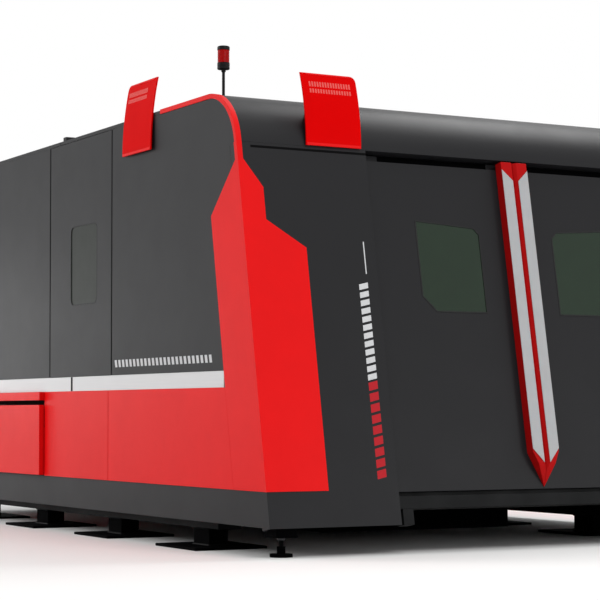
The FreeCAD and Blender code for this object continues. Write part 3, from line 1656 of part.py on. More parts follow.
def gantry():
    """A hollow chamfered beam across two tapered end carriages."""
    bottom, top = "gantry_beam_bottom", GANTRY_TOP
    near, far = around(GANTRY_Y, "gantry_beam_depth")
    beam = doc.addObject("PartDesign::Body", "gantry_beam")

    def section(grow):
        edge = f"(gantry_edge - ({grow}) * {CUT_SHARE})"
        return [
            (more(near, grow), more(bottom, grow)),
            (less(far, more(edge, grow)), more(bottom, grow)),
            (less(far, grow), f"({bottom} + {edge} + ({grow}))"),
            (less(far, grow), f"({top} - {edge} - ({grow}))"),
            (less(far, more(edge, grow)), less(top, grow)),
            (more(near, grow), less(top, grow)),
        ]

    start = from_beam("left", f"-{GANTRY_END}")
    span = less(from_beam("right", f"-{GANTRY_END}"), start)
    sketch = outline(beam, "YZ_Plane", section("0"), "gantry_beam_outline")
    pad(beam, sketch, span, "gantry_beam_pad")
    hole = outline(beam, "YZ_Plane", section("gantry_wall"), "gantry_hole_outline")
    pocket(beam, hole, "gantry_hole")
    place(beam, start)
    ends = []
    low = more(RAIL_TOP, "running_gap")
    for side in SIDES:
        end = doc.addObject("PartDesign::Body", f"gantry_end_{side}")
        front, rear = around(GANTRY_Y, "gantry_foot")
        shoulder = more(low, "gantry_edge")
        corners = [
            (front, low),
            (rear, low),
            (rear, shoulder),
            (more(far, "gantry_edge"), more(bottom, "gantry_edge")),
            (less(far, "gantry_wall"), more(bottom, "gantry_edge")),
            (less(far, "gantry_wall"), bottom),
            (more(near, "gantry_wall"), bottom),
            (front, shoulder),
        ]
        sketch = outline(end, "YZ_Plane", corners, f"gantry_end_{side}_outline")
        pad(end, sketch, f"2 * {GANTRY_END}", f"gantry_end_{side}_pad")
        corner = f"-{GANTRY_END}" if side == "left" else GANTRY_END
        place(end, from_beam(side, corner))
        ends.append(end)
    return fuse("gantry", [beam] + ends)


def beam_rails():
    """The two linear rails on the front of the gantry beam."""
    span = (
        from_beam("left", "-beam_width / 2 + gantry_edge"),
        from_beam("right", "-beam_width / 2 + gantry_edge"),
    )
    low = more("gantry_beam_bottom", "x_rail_inset")
    high = less(GANTRY_TOP, "x_rail_inset + x_rail_height")
    depth = (less(GANTRY_FRONT, "x_rail_depth"), GANTRY_FRONT)
    rails = [
        box(f"x_rail_{number}", span, depth, (base, more(base, "x_rail_height")))
        for number, base in enumerate((low, high), start=1)
    ]
    return group("x_rails", rails)


def cross_carriage():
    """The carriage on the beam's rails."""
    body = new_body("cross_carriage")
    corners = rectangle(
        (less(CARRIAGE_X, "carriage_width / 2"), more("gantry_beam_bottom", "gantry_wall")),
        (more(CARRIAGE_X, "carriage_width / 2"), more(GANTRY_TOP, "gantry_wall")),
    )
    sketch = outline(body, "XZ_Plane", corners, "cross_carriage_outline")
    feature = pad(body, sketch, "carriage_thickness", "cross_carriage_pad", backward=True)
    round_corners(body, feature, Vector(0, 1, 0), "gantry_wall", "cross_carriage_round")
    return place(body, y=CARRIAGE_FRONT)


HEAD_BACK = less(CARRIAGE_FRONT, "running_gap")
HEAD_FRONT = less(HEAD_BACK, "head_slide_thickness")
HEAD_Y = less(HEAD_FRONT, "head_housing / 2 + head_stand_off")
NOZZLE_TIP = more(SLAT_TIP, "nozzle_gap")
NOZZLE_TOP = more(NOZZLE_TIP, "nozzle_height")


def cutting_head():
    """The head on its vertical slide: slide plate, housing and tapered nozzle holder."""
    body = doc.addObject("PartDesign::Body", "head_slide")
    low = more(NOZZLE_TOP, "head_slide_lift")
    corners = rectangle(
        (less(CARRIAGE_X, "head_width / 2"), low),
        (more(CARRIAGE_X, "head_width / 2"), more(low, "head_slide_height")),
    )
    sketch = outline(body, "XZ_Plane", corners, "head_slide_outline")
    pad(body, sketch, "head_slide_thickness", "head_slide_pad", backward=True)
    place(body, y=HEAD_FRONT)
    housing_bottom = more(NOZZLE_TOP, "head_taper")
    housing = doc.addObject("PartDesign::Body", "head_housing_block")
    (left, right), (front, rear) = (
        around(middle, "head_housing") for middle in (CARRIAGE_X, HEAD_Y)
    )
    corners = [
        (more(left, "head_edge"), front),
        (less(right, "head_edge"), front),
        (right, more(front, "head_edge")),
        (right, less(rear, "head_edge")),
        (less(right, "head_edge"), rear),
        (more(left, "head_edge"), rear),
        (left, less(rear, "head_edge")),
        (left, more(front, "head_edge")),
    ]
    sketch = outline(housing, "XY_Plane", corners, "head_housing_outline")
    pad(
        housing,
        sketch,
        less(more(low, "head_slide_height"), housing_bottom),
        "head_housing_pad",
    )
    place(housing, z=housing_bottom)
    holder = cone(
        "head_holder",
        "nozzle_collar / 2",
        "head_holder / 2",
        "head_taper",
        CARRIAGE_X,
        HEAD_Y,
        NOZZLE_TOP,
    )
    seat = box(
        "head_seat",
        around(CARRIAGE_X, "head_seat_width"),
        (HEAD_Y, HEAD_FRONT),
        (low, more(low, "head_seat_height")),
    )
    return fuse("cutting_head", [body, housing, holder, seat])


def nozzle():
    """The nozzle, a hexagonal collar and a slim tip just over the slats."""
    collar = hexagon(
        "nozzle_hexagon",
        "nozzle_collar",
        "nozzle_collar_height",
        CARRIAGE_X,
        HEAD_Y,
        less(NOZZLE_TOP, "nozzle_collar_height"),
    )
    tip = cylinder(
        "nozzle_end",
        "nozzle_tip / 2",
        "nozzle_height - nozzle_collar_height",
        CARRIAGE_X,
        HEAD_Y,
        NOZZLE_TIP,
    )
    return fuse("nozzle", [collar, tip])


# --------------------------------------------------------------- cabinets

CABINET_X = (from_beam("right", "-beam_width / 2"), from_wall("right", FRAME_IN))


def cabinet(name, start, length):
    """A closed cabinet between the bed and the right side frame."""
    body = new_body(name)
    corners = rectangle(
        (CABINET_X[0], more(SIDE_DOOR[0], start)),
        (CABINET_X[1], more(SIDE_DOOR[0], more(start, length))),
    )
    sketch = outline(body, "XY_Plane", corners, f"{name}_outline")
    pad(body, sketch, "cabinet_height", f"{name}_pad")
    return place(body, z=FRAME_LOW)


# --------------------------------------------------------------- assembly


def red_side(side):
    """The red panels of one wall; the drawers fill their gap on the left."""
    seam = more(SIDE_DOOR[0], "red_seam - panel_gap / 2")
    after = more(SIDE_DOOR[0], "red_seam + panel_gap / 2")
    lengths = [(None, seam), (after, REAR_IN)]
    if side == "left":
        lengths[1:] = [
            (after, less(DRAWER_ONE, "panel_gap")),
            (more(DRAWER_END, "panel_gap"), REAR_IN),
        ]
    panels = [
        red_panel(side, ends, f"{side}_lower_panel_{number}")
        for number, ends in enumerate(lengths, start=1)
    ]
    return group(f"{side}_lower_panels", panels)


nodes = [bed_side(side) for side in SIDES]
nodes.append(
    group("bed_feet", [bed_foot(side, row) for side in SIDES for row in range(FEET_ROWS)])
)
nodes.append(
    group(
        "levelling_feet",
        [levelling_foot(side, end) for side in SIDES for end in ("front", "rear")],
    )
)
nodes.append(table_frame())
nodes.append(group("slat_combs", [slat_comb(side) for side in SIDES]))
nodes.append(support_slats())
nodes.append(fume_plenum())
nodes.extend(side_frame(side) for side in SIDES)
nodes.append(roof_cross_tubes())
for wall in SIDES:
    nodes.append(upper_front_panel(wall))
    nodes.append(upper_rear_panel(wall))
    nodes.append(red_side(wall))
nodes.append(group("side_stripes", stripe("left") + stripe("right")))
nodes.append(group("skirts", [skirt(side) for side in SIDES]))
nodes.append(side_door("left", "side_door", True))
nodes.append(side_door_window())
nodes.append(side_door("right", "cabinet_door", False))
nodes.append(drawer_hood())
nodes.append(rear_panel("rear_wall_lower", "skirt_top", "stripe_top - panel_gap"))
nodes.append(rear_panel("rear_wall_upper", "stripe_top", FRAME_TOP))
nodes.append(roof_front())
nodes.append(group("roof_trims", [roof_trim(side) for side in SIDES]))
nodes.append(roof_trays())
for wall in SIDES:
    nodes.append(column(wall))
    nodes.append(corner_cover(wall))
    nodes.append(door_leaf(wall))
    nodes.append(door_window(wall))
    nodes.append(labelled(door_strip(wall), f"door_{wall}_strip"))
    nodes.append(light_bar(wall))
nodes.extend(sill_frame())
nodes.append(door_header())
nodes.append(door_rail())
nodes.append(front_flag())
nodes.append(side_flag())
nodes.extend(stack_light())
nodes.append(group("drawer_runners", drawer_runners()))
nodes.append(drawer(1, DRAWER_ONE))
nodes.append(drawer(2, DRAWER_TWO))
nodes.append(group("y_rails", [bed_rail(side) for side in SIDES]))
nodes.append(bed_racks())
nodes.append(gantry())
nodes.append(beam_rails())
nodes.append(cross_carriage())
nodes.append(cutting_head())
nodes.append(nozzle())
nodes.append(cabinet("laser_cabinet", "cabinet_start", "cabinet_length"))
nodes.append(
    cabinet("control_cabinet", "cabinet_start + cabinet_length + cabinet_gap", "control_length")
)

doc.recompute()

for thing in doc.Objects:
    if "Invalid" in thing.State or "Error" in thing.State:
        raise ValueError(f"{thing.Label} is {thing.State}")
for node in nodes:
    if node.Shape.isNull() or not node.Shape.isValid() or not node.Shape.Solids:
        raise ValueError(f"{node.Label} has no sound shape")

os.makedirs("parts", exist_ok=True)
for node in nodes:
    node.Shape.exportStep(f"parts/{node.Label}.step")
print(f"{len(nodes)} pieces")
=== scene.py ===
import math

import bmesh
import bpy
from bpy.props import FloatProperty, FloatVectorProperty, IntProperty, PointerProperty
from mathutils import Matrix, Vector
from mathutils.bvhtree import BVHTree


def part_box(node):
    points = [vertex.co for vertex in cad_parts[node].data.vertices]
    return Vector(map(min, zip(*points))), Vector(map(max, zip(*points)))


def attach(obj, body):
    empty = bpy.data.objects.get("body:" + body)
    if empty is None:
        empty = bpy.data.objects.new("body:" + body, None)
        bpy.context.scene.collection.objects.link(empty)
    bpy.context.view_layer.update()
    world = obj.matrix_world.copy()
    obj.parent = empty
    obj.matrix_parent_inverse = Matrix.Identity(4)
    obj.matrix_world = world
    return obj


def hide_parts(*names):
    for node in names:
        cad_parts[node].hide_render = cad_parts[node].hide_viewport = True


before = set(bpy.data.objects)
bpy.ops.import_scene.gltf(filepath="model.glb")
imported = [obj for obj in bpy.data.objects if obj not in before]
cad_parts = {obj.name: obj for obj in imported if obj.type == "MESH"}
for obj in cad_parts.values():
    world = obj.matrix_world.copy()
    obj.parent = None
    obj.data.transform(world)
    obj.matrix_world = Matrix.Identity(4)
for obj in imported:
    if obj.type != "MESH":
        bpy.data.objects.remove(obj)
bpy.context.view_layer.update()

bl_info = {
    "name": "Enclosed laser cutting machine: finishes",
    "version": (1, 0, 0),
    "blender": (4, 5, 0),
    "location": "View3D > Sidebar > Machine",
    "description": "Paint, edges, printing, seals and fittings of an enclosed laser cutter",
    "category": "Object",
}

MM = 0.001

# The leaning front: how far it leans back, and the height that it starts from.
LEAN = math.radians(10.48)
BASE = 0.141
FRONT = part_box("column_left")[0].y
WALL_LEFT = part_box("column_left")[0].x
WALL_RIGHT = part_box("column_right")[1].x
MIDDLE = (WALL_LEFT + WALL_RIGHT) / 2
DOOR_RECESS = 0.030
SIDES = (("left", -1), ("right", 1))
OUT_LEFT, OUT_RIGHT, OUT_FRONT, UP = (-1, 0, 0), (1, 0, 0), (0, -1, 0), (0, 0, 1)
# A film's outline is drawn this far before the sheet, and the film lies off the sheet by this
# share of its height.
STAND_OFF, FILM_GAP = 0.3, 0.25


# ------------------------------------------------------------------ colours


def linear(hex_colour):
    """An sRGB hex colour as linear red, green and blue."""
    parts = [int(hex_colour[i : i + 2], 16) / 255 for i in (1, 3, 5)]
    return tuple(c / 12.92 if c <= 0.04045 else ((c + 0.055) / 1.055) ** 2.4 for c in parts)


def opaque(colour, lost=0.0):
    """A linear colour with its alpha, with a share of its light lost."""
    return (*(c * (1 - lost) for c in tuple(colour)[:3]), 1.0)


def colour_setting(name, description, hex_colour):
    limits = {"size": 3, "min": 0, "max": 1, "default": linear(hex_colour)}
    return FloatVectorProperty(name=name, description=description, subtype="COLOR", **limits)


def length_setting(name, description, millimetres):
    limits = {"unit": "LENGTH", "min": 0, "default": millimetres * MM}
    return FloatProperty(name=name, description=description, subtype="DISTANCE", **limits)


class PaintSettings(bpy.types.PropertyGroup):
    """Colours of the painted and coated surfaces."""

    charcoal: colour_setting("Charcoal panels", "Powder coat of the dark panels", "#1D1D1F")
    red: colour_setting("Red panels", "Powder coat of the red panels and covers", "#DF0E10")
    flag_red: colour_setting("Flag plates", "Gloss enamel of the flag plates", "#D40405")
    # The strip's deeper red is partly its own tone and partly painted shade of its recessed channel
    # and its top.
    strip_red: colour_setting("Door strip", "Deep red coat of the middle strip", "#AA0F10")
    # Near black: partly the frames' own dark paint, partly painted shade under the machine and the
    # doors.
    frame_paint_and_shade: colour_setting("Frame", "Paint of the tube frames", "#0F1011")
    # Near black: partly the bed's own paint, partly painted shade inside and under the machine.
    bed_paint_and_shade: colour_setting("Bed", "Hammered paint of the welded bed", "#0D0E10")
    glass_green: colour_setting("Laser glass", "Tint of the window panes", "#132B17")
    light_bar: colour_setting("Light bars", "Moulded diffusers on the doors", "#A5A6A8")
    profile: colour_setting("Bright profile", "Brushed profile along the sides", "#C8C8C9")
    print_pale: colour_setting("Pale print", "Screen print on the dark panels", "#C9CACC")
    print_red: colour_setting("Red print", "Crimson screen print on the column", "#B00A1A")
    lens_red: colour_setting("Lens", "Moulded lens of the stack light", "#A90608")


class EdgeSettings(bpy.types.PropertyGroup):
    """How the edges and beads of the pieces are rounded."""

    sheet_radius: length_setting("Sheet edge", "Outer radius of a folded sheet edge", 1.6)
    bar_radius: length_setting("Bar edge", "Rounded edge of tubes and beams", 3.0)
    fine_radius: length_setting("Fine edge", "Broken edge of small machined pieces", 0.8)
    steps: IntProperty(
        name="Steps", description="Facets across a rounded edge", min=1, max=6, default=2
    )


class TrimSettings(bpy.types.PropertyGroup):
    """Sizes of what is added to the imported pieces."""

    film: length_setting("Print height", "Screen print above the paint", 0.4)
    seal_width: length_setting("Window seal", "Rubber seal round the windows, its width", 7)
    seal_proud: length_setting("Seal height", "Rubber seal before the sheet", 1.4)
    # The strip's black is partly rubber and partly painted shade of the seam's gap.
    joint_width: length_setting("Joint strip", "Rubber strip beside a panel's seam", 9)
    cover_width: length_setting("Profile joint", "Cover over the bright profile's joint", 24)
    weld_size: length_setting("Weld bead", "Leg of the fillet welds", 7)
    thread_pitch: length_setting("Thread pitch", "Thread of the levelling feet", 2.5)
    rail_screw_pitch: length_setting("Rail screws", "Between the screws of a linear rail", 80)


# ---------------------------------------------------------------- finishes


def add_node(tree, kind, inputs=None, **settings):
    """A shader node with its settings; an input, by name or number, is set or linked."""
    node = tree.nodes.new("ShaderNode" + kind)
    for key, setting in settings.items():
        setattr(node, key, setting)
    shown = [socket for socket in node.inputs if socket.enabled]
    for key, value in (inputs or {}).items():
        socket = shown[key] if isinstance(key, int) else next(s for s in shown if s.name == key)
        if isinstance(value, bpy.types.Node):
            value = next(output for output in value.outputs if output.enabled)
        if isinstance(value, bpy.types.NodeSocket):
            tree.links.new(value, socket)
        else:
            socket.default_value = value
    return node


def new_material(name):
    """An empty material, its tree, and the coordinates that its patterns follow."""
    material = bpy.data.materials.new(name)
    material.use_nodes = True
    tree = material.node_tree
    tree.nodes.clear()
    return material, tree, add_node(tree, "TexCoord").outputs["Object"]


def new_finish(name, coat, *settings):
    """A material whose shader has the sockets that a coat gives."""
    material, tree, where = new_material(name)
    shader = add_node(tree, "BsdfPrincipled", coat(tree, where, *settings))
    add_node(tree, "OutputMaterial", {"Surface": shader})
    return material


def grain(where, size, detail=3.0, roughness=0.6):
    """The inputs of a noise whose grains are about this many millimetres across."""
    return {"Vector": where, "Scale": 1 / (size * MM), "Detail": detail, "Roughness": roughness}


def between(value, low, high, start=0.3, end=0.7):
    """The inputs that move a value from one range to another."""
    return {"Value": value, "From Min": start, "From Max": end, "To Min": low, "To Max": high}


def worn(colour, loss, factor):
    """The inputs that mix a colour with a duller one, by a factor from 0 to 1."""
    return {"Factor": factor, "A": opaque(colour, loss), "B": opaque(colour)}


def aged(tree, pattern, colour, loss, low, high):
    """Colour and roughness over a pattern; where it is low, a share of the light is lost."""
    share = add_node(tree, "MapRange", between(pattern, 0.0, 1.0))
    return {
        "Base Color": add_node(tree, "Mix", worn(colour, loss, share), data_type="RGBA"),
        "Roughness": add_node(tree, "MapRange", between(pattern, low, high)),
    }


def relief(pattern, depth, under=None):
    """The inputs of a bump this deep in millimetres, on top of another one."""
    return {"Height": pattern, "Distance": depth * MM} | ({"Normal": under} if under else {})


def powder_coat(tree, where, colour, gloss, level, peel=1.0):
    """Baked polyester powder on sheet steel: satin, with fine orange peel on wavy sheets."""
    # Handling leaves broad patches, about 0.25 m, that are slightly duller.
    patch = add_node(tree, "TexNoise", grain(where, 250, 4.0))
    # Folded sheets of about 0.7 m are never quite flat.
    wave = add_node(tree, "TexNoise", grain(where, 700, 1.0, 0.4))
    bent = add_node(tree, "Bump", relief(wave, 0.8))
    # Orange peel is 2 to 4 mm across; it is drawn 9 mm so that it shows from a few metres.
    skin = add_node(tree, "TexNoise", grain(where, 9))
    return {
        **aged(tree, patch, colour, 0.06, gloss + 0.02, gloss - 0.02),
        "Specular IOR Level": level,
        "Normal": add_node(tree, "Bump", relief(skin, 0.05 * peel, bent)),
    }


def tube_enamel(tree, where, colour, gloss, level):
    """Brushed machine enamel on hot-rolled tube: runs and mill scale show under it."""
    runs = add_node(tree, "TexNoise", grain(where, 180))
    # Mill scale flakes are 10 to 20 mm across.
    scale = add_node(tree, "TexNoise", grain(where, 14, 5.0))
    return {
        **aged(tree, runs, colour, 0.22, gloss + 0.06, gloss - 0.06),
        "Specular IOR Level": level,
        "Normal": add_node(tree, "Bump", relief(scale, 0.25)),
    }


def hammered_enamel(tree, where, colour):
    """Hammer finish on the welded bed: a net of shallow dimples, darker towards their middles."""
    # Dimples of hammer paint are 4 mm; they are drawn 9 mm so that they show.
    net = {"Vector": where, "Scale": 1 / (9 * MM)}
    cells = add_node(tree, "TexVoronoi", net, feature="SMOOTH_F1")
    patch = add_node(tree, "TexNoise", grain(where, 220))
    share = add_node(tree, "MapRange", between(cells, 0.0, 1.0, 0.15, 0.6))
    return {
        "Base Color": add_node(tree, "Mix", worn(colour, 0.3, share), data_type="RGBA"),
        "Roughness": add_node(tree, "MapRange", between(patch, 0.52, 0.4)),
        "Specular IOR Level": 0.03,
        "Normal": add_node(tree, "Bump", relief(cells, 0.3)),
    }


def galvanised_sheet(tree, where, colour):
    """Hot-dip galvanised sheet: spangles of slightly different grey and sheen."""
    # Spangles are 10 to 30 mm across.
    spangle = add_node(tree, "TexVoronoi", {"Vector": where, "Scale": 1 / (22 * MM)})
    tone = add_node(tree, "SeparateColor", {"Color": spangle.outputs["Color"]})
    dull = add_node(tree, "TexNoise", grain(where, 150, 4.0))
    return {
        "Base Color": add_node(tree, "Mix", worn(colour, 0.28, tone), data_type="RGBA"),
        "Metallic": 0.85,
        "Roughness": add_node(tree, "MapRange", between(dull, 0.36, 0.52)),
        "Normal": add_node(tree, "Bump", relief(tone, 0.04)),
    }


def scorched_strip(tree, where, colour, scorch):
    """Hot-rolled strip marked by the laser: brown heat tint and soot towards the teeth."""
    height = add_node(tree, "SeparateXYZ", {"Vector": where}).outputs["Z"]
    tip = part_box("support_slats")[1].z
    burn = add_node(tree, "MapRange", between(height, 0.0, 1.0, tip - 60 * MM, tip))
    # Spatter gathers in blots of 20 to 50 mm.
    blot = add_node(tree, "TexNoise", grain(where, 35, 5.0, 0.7))
    share = add_node(tree, "MapRange", between(blot, 0.3, 1.0))
    burnt = add_node(tree, "Math", {0: burn, 1: share}, operation="MULTIPLY")
    tint = {"Factor": burnt, "A": opaque(colour), "B": opaque(scorch)}
    return {
        "Base Color": add_node(tree, "Mix", tint, data_type="RGBA"),
        "Metallic": 0.8,
        "Roughness": add_node(tree, "MapRange", between(blot, 0.42, 0.62)),
        "Normal": add_node(tree, "Bump", relief(blot, 0.2)),
    }


def ground_steel(tree, where, colour):
    """Hardened and ground steel: bright, with fine grinding lines along the piece."""
    lined = add_node(tree, "Mapping", {"Vector": where, "Scale": (1.0, 0.02, 1.0)})
    # Grinding lines are 0.1 mm apart; they are drawn 3 mm apart so that they show.
    lines = add_node(tree, "TexNoise", grain(lined, 3, 2.0, 0.5))
    return {
        **aged(tree, lines, colour, 0.16, 0.2, 0.34),
        "Metallic": 1.0,
        "Normal": add_node(tree, "Bump", relief(lines, 0.03)),
    }


def blasted_alloy(tree, where, colour, gloss):
    """Bead-blasted and anodised aluminium: even, soft sheen with a fine frosted grain."""
    handled = add_node(tree, "TexNoise", grain(where, 160))
    # Bead marks are 0.2 mm; they are drawn 2.5 mm so that they show.
    frost = add_node(tree, "TexNoise", grain(where, 2.5))
    return {
        **aged(tree, handled, colour, 0.1, gloss, gloss + 0.1),
        "Metallic": 1.0,
        "Normal": add_node(tree, "Bump", relief(frost, 0.02)),
    }


def brushed_profile(tree, where, colour):
    """Brushed aluminium profile under clear lacquer: pale, with lines along the machine."""
    lined = add_node(tree, "Mapping", {"Vector": where, "Scale": (1.0, 0.01, 1.0)})
    # Brush lines are 0.2 mm apart; they are drawn 3 mm apart so that they show.
    lines = add_node(tree, "TexNoise", grain(lined, 3))
    cloud = add_node(tree, "TexNoise", grain(where, 400, 2.0, 0.5))
    share = add_node(tree, "MapRange", between(lines, 0.0, 1.0))
    return {
        "Base Color": add_node(tree, "Mix", worn(colour, 0.06, share), data_type="RGBA"),
        "Metallic": 0.35,
        "Roughness": add_node(tree, "MapRange", between(cloud, 0.34, 0.44)),
        "Coat Weight": 0.1,
        "Coat Roughness": 0.2,
        "Normal": add_node(tree, "Bump", relief(lines, 0.02)),
    }


def turned_copper(tree, where, colour):
    """Turned copper, a little tarnished: faint bands round the nozzle."""
    # The wave repeats about 20 times over its scale, which puts its bands 4 mm apart.
    wave = {"Vector": where, "Scale": 1 / (4 * MM) / 20, "Distortion": 1.5, "Detail": 2.0}
    bands = add_node(tree, "TexWave", wave, bands_direction="Z").outputs["Fac"]
    tarnish = add_node(tree, "TexNoise", grain(where, 6))
    share = add_node(tree, "MapRange", between(tarnish, 0.0, 1.0))
    return {
        "Base Color": add_node(tree, "Mix", worn(colour, 0.35, share), data_type="RGBA"),
        "Metallic": 1.0,
        "Roughness": add_node(tree, "MapRange", between(bands, 0.22, 0.36, 0.0, 1.0)),
    }


def laser_acrylic(tree, where, colour, gloss, level):
    """Cast acrylic that stops the laser's light: deep green, with faint waves and smears."""
    # A hand's smears are 50 to 100 mm across.
    smear = add_node(tree, "TexNoise", grain(where, 90, 4.0, 0.65))
    wave = add_node(tree, "TexNoise", grain(where, 300, 1.0, 0.4))
    return {
        **aged(tree, smear, colour, 0.1, gloss - 0.03, gloss + 0.04),
        "Transmission Weight": 0.25,
        "IOR": 1.49,
        "Specular IOR Level": level,
        "Normal": add_node(tree, "Bump", relief(wave, 0.6)),
    }


def moulded_plastic(tree, where, colour, gloss, level, glow=0.0):
    """Injection-moulded ABS or polycarbonate: fine spark-eroded texture, soft gloss."""
    flow = add_node(tree, "TexNoise", grain(where, 120))
    # Spark-eroded texture is 0.3 mm; it is drawn 1.5 mm so that it shows.
    skin = add_node(tree, "TexNoise", grain(where, 1.5, 2.0, 0.5))
    return {
        **aged(tree, flow, colour, 0.08, gloss - 0.05, gloss + 0.06),
        "Specular IOR Level": level,
        "Subsurface Weight": glow,
        "Subsurface Scale": 4 * MM,
        "Normal": add_node(tree, "Bump", relief(skin, 0.03)),
    }


def lens_polycarbonate(tree, where, colour):
    """Clear red polycarbonate over a ribbed lens: a little light comes through."""
    flow = add_node(tree, "TexNoise", grain(where, 30))
    tint = aged(tree, flow, colour, 0.15, 0.18, 0.26)
    return {**tint, "Transmission Weight": 0.1, "IOR": 1.58, "Specular IOR Level": 0.02}


def rubber_seal(tree, where, colour, level):
    """Extruded EPDM seal: dull black with a slight bloom."""
    # Bloom lies in patches of 10 to 30 mm.
    bloom = add_node(tree, "TexNoise", grain(where, 18, 4.0))
    return {
        **aged(tree, bloom, colour, 0.3, 0.62, 0.8),
        "Specular IOR Level": level,
        "Normal": add_node(tree, "Bump", relief(bloom, 0.05)),
    }


def screen_print(tree, where, colour):
    """Screen-printed two-part ink: flat and even, with the paint's peel showing through."""
    cover = add_node(tree, "TexNoise", grain(where, 60, 4.0))
    skin = add_node(tree, "TexNoise", grain(where, 9))
    return {
        **aged(tree, cover, colour, 0.07, 0.42, 0.52),
        "Specular IOR Level": 0.2,
        "Normal": add_node(tree, "Bump", relief(skin, 0.04)),
    }


def blackened_screw(tree, where, colour):
    """Blackened steel screws: dark oxide with worn, brighter patches."""
    wear = add_node(tree, "TexNoise", grain(where, 3, 4.0, 0.7))
    return {**aged(tree, wear, colour, 0.4, 0.34, 0.5), "Metallic": 0.8}


def painted_weld(tree, where, colour):
    """Weld beads under the feet's paint: rippled, with a duller skin than the plates."""
    ripple = add_node(tree, "TexNoise", grain(where, 6))
    return {
        **aged(tree, ripple, colour, 0.3, 0.4, 0.58),
        "Specular IOR Level": 0.2,
        "Normal": add_node(tree, "Bump", relief(ripple, 0.6)),
    }


def make_finishes(paint):
    """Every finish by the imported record's slot, and the ones that only the trim uses."""
    black, rolled, burnt = linear("#0C0C0D"), linear("#77716B"), linear("#2E2320")
    rows = {
        "panel_dark": ("charcoal_powder_coat", powder_coat, paint.charcoal, 0.42, 0.13),
        "panel_red": ("red_powder_coat", powder_coat, paint.red, 0.38, 0.08, 0.7),
        # Partly painted shade: a darker red for the door strips, standing in for the shade in their
        # channel.
        "strip_red": ("deep_red_powder_coat", powder_coat, paint.strip_red, 0.44, 0.04, 0.7),
        "flag_red": ("red_gloss_enamel", powder_coat, paint.flag_red, 0.34, 0.01, 0.4),
        # Partly painted shade: the tube enamel is darkened towards black for the frames and sill
        # under the machine.
        "frame_paint": ("dark_grey_tube_enamel", tube_enamel, paint.frame_paint_and_shade, 0.5, 0.1),
        # Matt black, also painted shade on the pieces in the gap over the doors and under the
        # machine.
        "black_enamel": ("matt_black_enamel", tube_enamel, linear("#050506"), 0.7, 0.01),
        # Partly painted shade: the bed's paint is darkened for its sides in the shade under the
        # machine.
        "bed_paint": ("grey_hammered_enamel", hammered_enamel, paint.bed_paint_and_shade),
        "zinc_sheet": ("galvanised_sheet", galvanised_sheet, linear("#9CA1A4")),
        "bare_steel": ("scorched_strip_steel", scorched_strip, rolled, burnt),
        "rail_steel": ("ground_rail_steel", ground_steel, linear("#B9BBBD")),
        "gantry_alloy": ("blasted_gantry_alloy", blasted_alloy, linear("#C2C4C6"), 0.42),
        "head_alloy": ("clear_anodised_alloy", blasted_alloy, linear("#C9CACC"), 0.32),
        "nozzle_copper": ("turned_copper", turned_copper, linear("#C77B52")),
        "laser_glass": ("green_laser_acrylic", laser_acrylic, paint.glass_green, 0.12, 0.3),
        # Painted shade: a darker copy of the laser glass for the side window, on the more brightly
        # lit wall.
        "matt_glass": ("matt_laser_acrylic", laser_acrylic, linear("#141C14"), 0.4, 0.08),
        "bright_profile": ("brushed_bright_profile", brushed_profile, paint.profile),
        "pale_plastic": ("opal_light_bar", moulded_plastic, paint.light_bar, 0.4, 0.4, 0.1),
        "black_plastic": ("black_moulded_plastic", moulded_plastic, linear("#0E0E0F"), 0.45, 0.12),
        # Near black that is partly painted shade of the drawers' finger slot.
        "bristle": ("black_nylon_bristle", moulded_plastic, linear("#040404"), 0.8, 0.02),
        "red_lens": ("red_lens_polycarbonate", lens_polycarbonate, paint.lens_red),
        "rubber": ("black_rubber_seal", rubber_seal, linear("#141415"), 0.3),
        # Black that is partly painted shade: the seam strips stand for the seams' shadow gap, the
        # lip strip for the lip's shadow line.
        "joint_rubber": ("black_joint_rubber", rubber_seal, black, 0.03),
        "pale_print": ("pale_screen_print", screen_print, paint.print_pale),
        "red_print": ("red_screen_print", screen_print, paint.print_red),
        "faint_print": ("faint_screen_print", screen_print, linear("#DD5550")),
        "screw": ("blackened_steel_screw", blackened_screw, linear("#3B3B3D")),
        "weld": ("painted_weld", painted_weld, black),
    }
    return {slot: new_finish(*row) for slot, row in rows.items()}


FINISHES = {}


# ------------------------------------------------------------ mesh helpers


def new_piece(name, shape, finish, body, radius=0.0, smooth=None):
    """A mesh piece on a body, with its finish, broken edges and, up to an angle, soft shading."""
    bmesh.ops.remove_doubles(shape, verts=shape.verts, dist=0.001 * MM)
    bmesh.ops.recalc_face_normals(shape, faces=shape.faces)
    mesh = bpy.data.meshes.new(name)
    shape.to_mesh(mesh)
    shape.free()
    mesh.materials.append(FINISHES[finish])
    piece = bpy.data.objects.new(name, mesh)
    bpy.context.scene.collection.objects.link(piece)
    if smooth is not None:
        mesh.shade_smooth()
        mesh.set_sharp_from_angle(angle=math.radians(smooth))
    if radius:
        round_edges(piece, radius, 1)
    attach(piece, body)
    return piece


def round_edges(piece, radius, steps):
    """Rounds a piece's sharp edges a little, so that they catch the light."""
    bevel = piece.modifiers.new("rounded_edges", "BEVEL")
    bevel.width = radius
    bevel.segments = steps
    bevel.limit_method = "ANGLE"
    bevel.angle_limit = math.radians(32)
    bevel.miter_outer = "MITER_ARC"


def add_ring(shape, outline, place, w=0.0):
    """The points of an outline given as (u, v), at one height along w."""
    return [shape.verts.new(place @ Vector((u, v, w))) for u, v in outline]


def join_rings(shape, low, high):
    """The faces between two rings; a ring that is one point repeated gets triangles."""
    for corners in zip(low, low[1:] + low[:1], high[1:] + high[:1], high):
        shape.faces.new(list(dict.fromkeys(corners)))


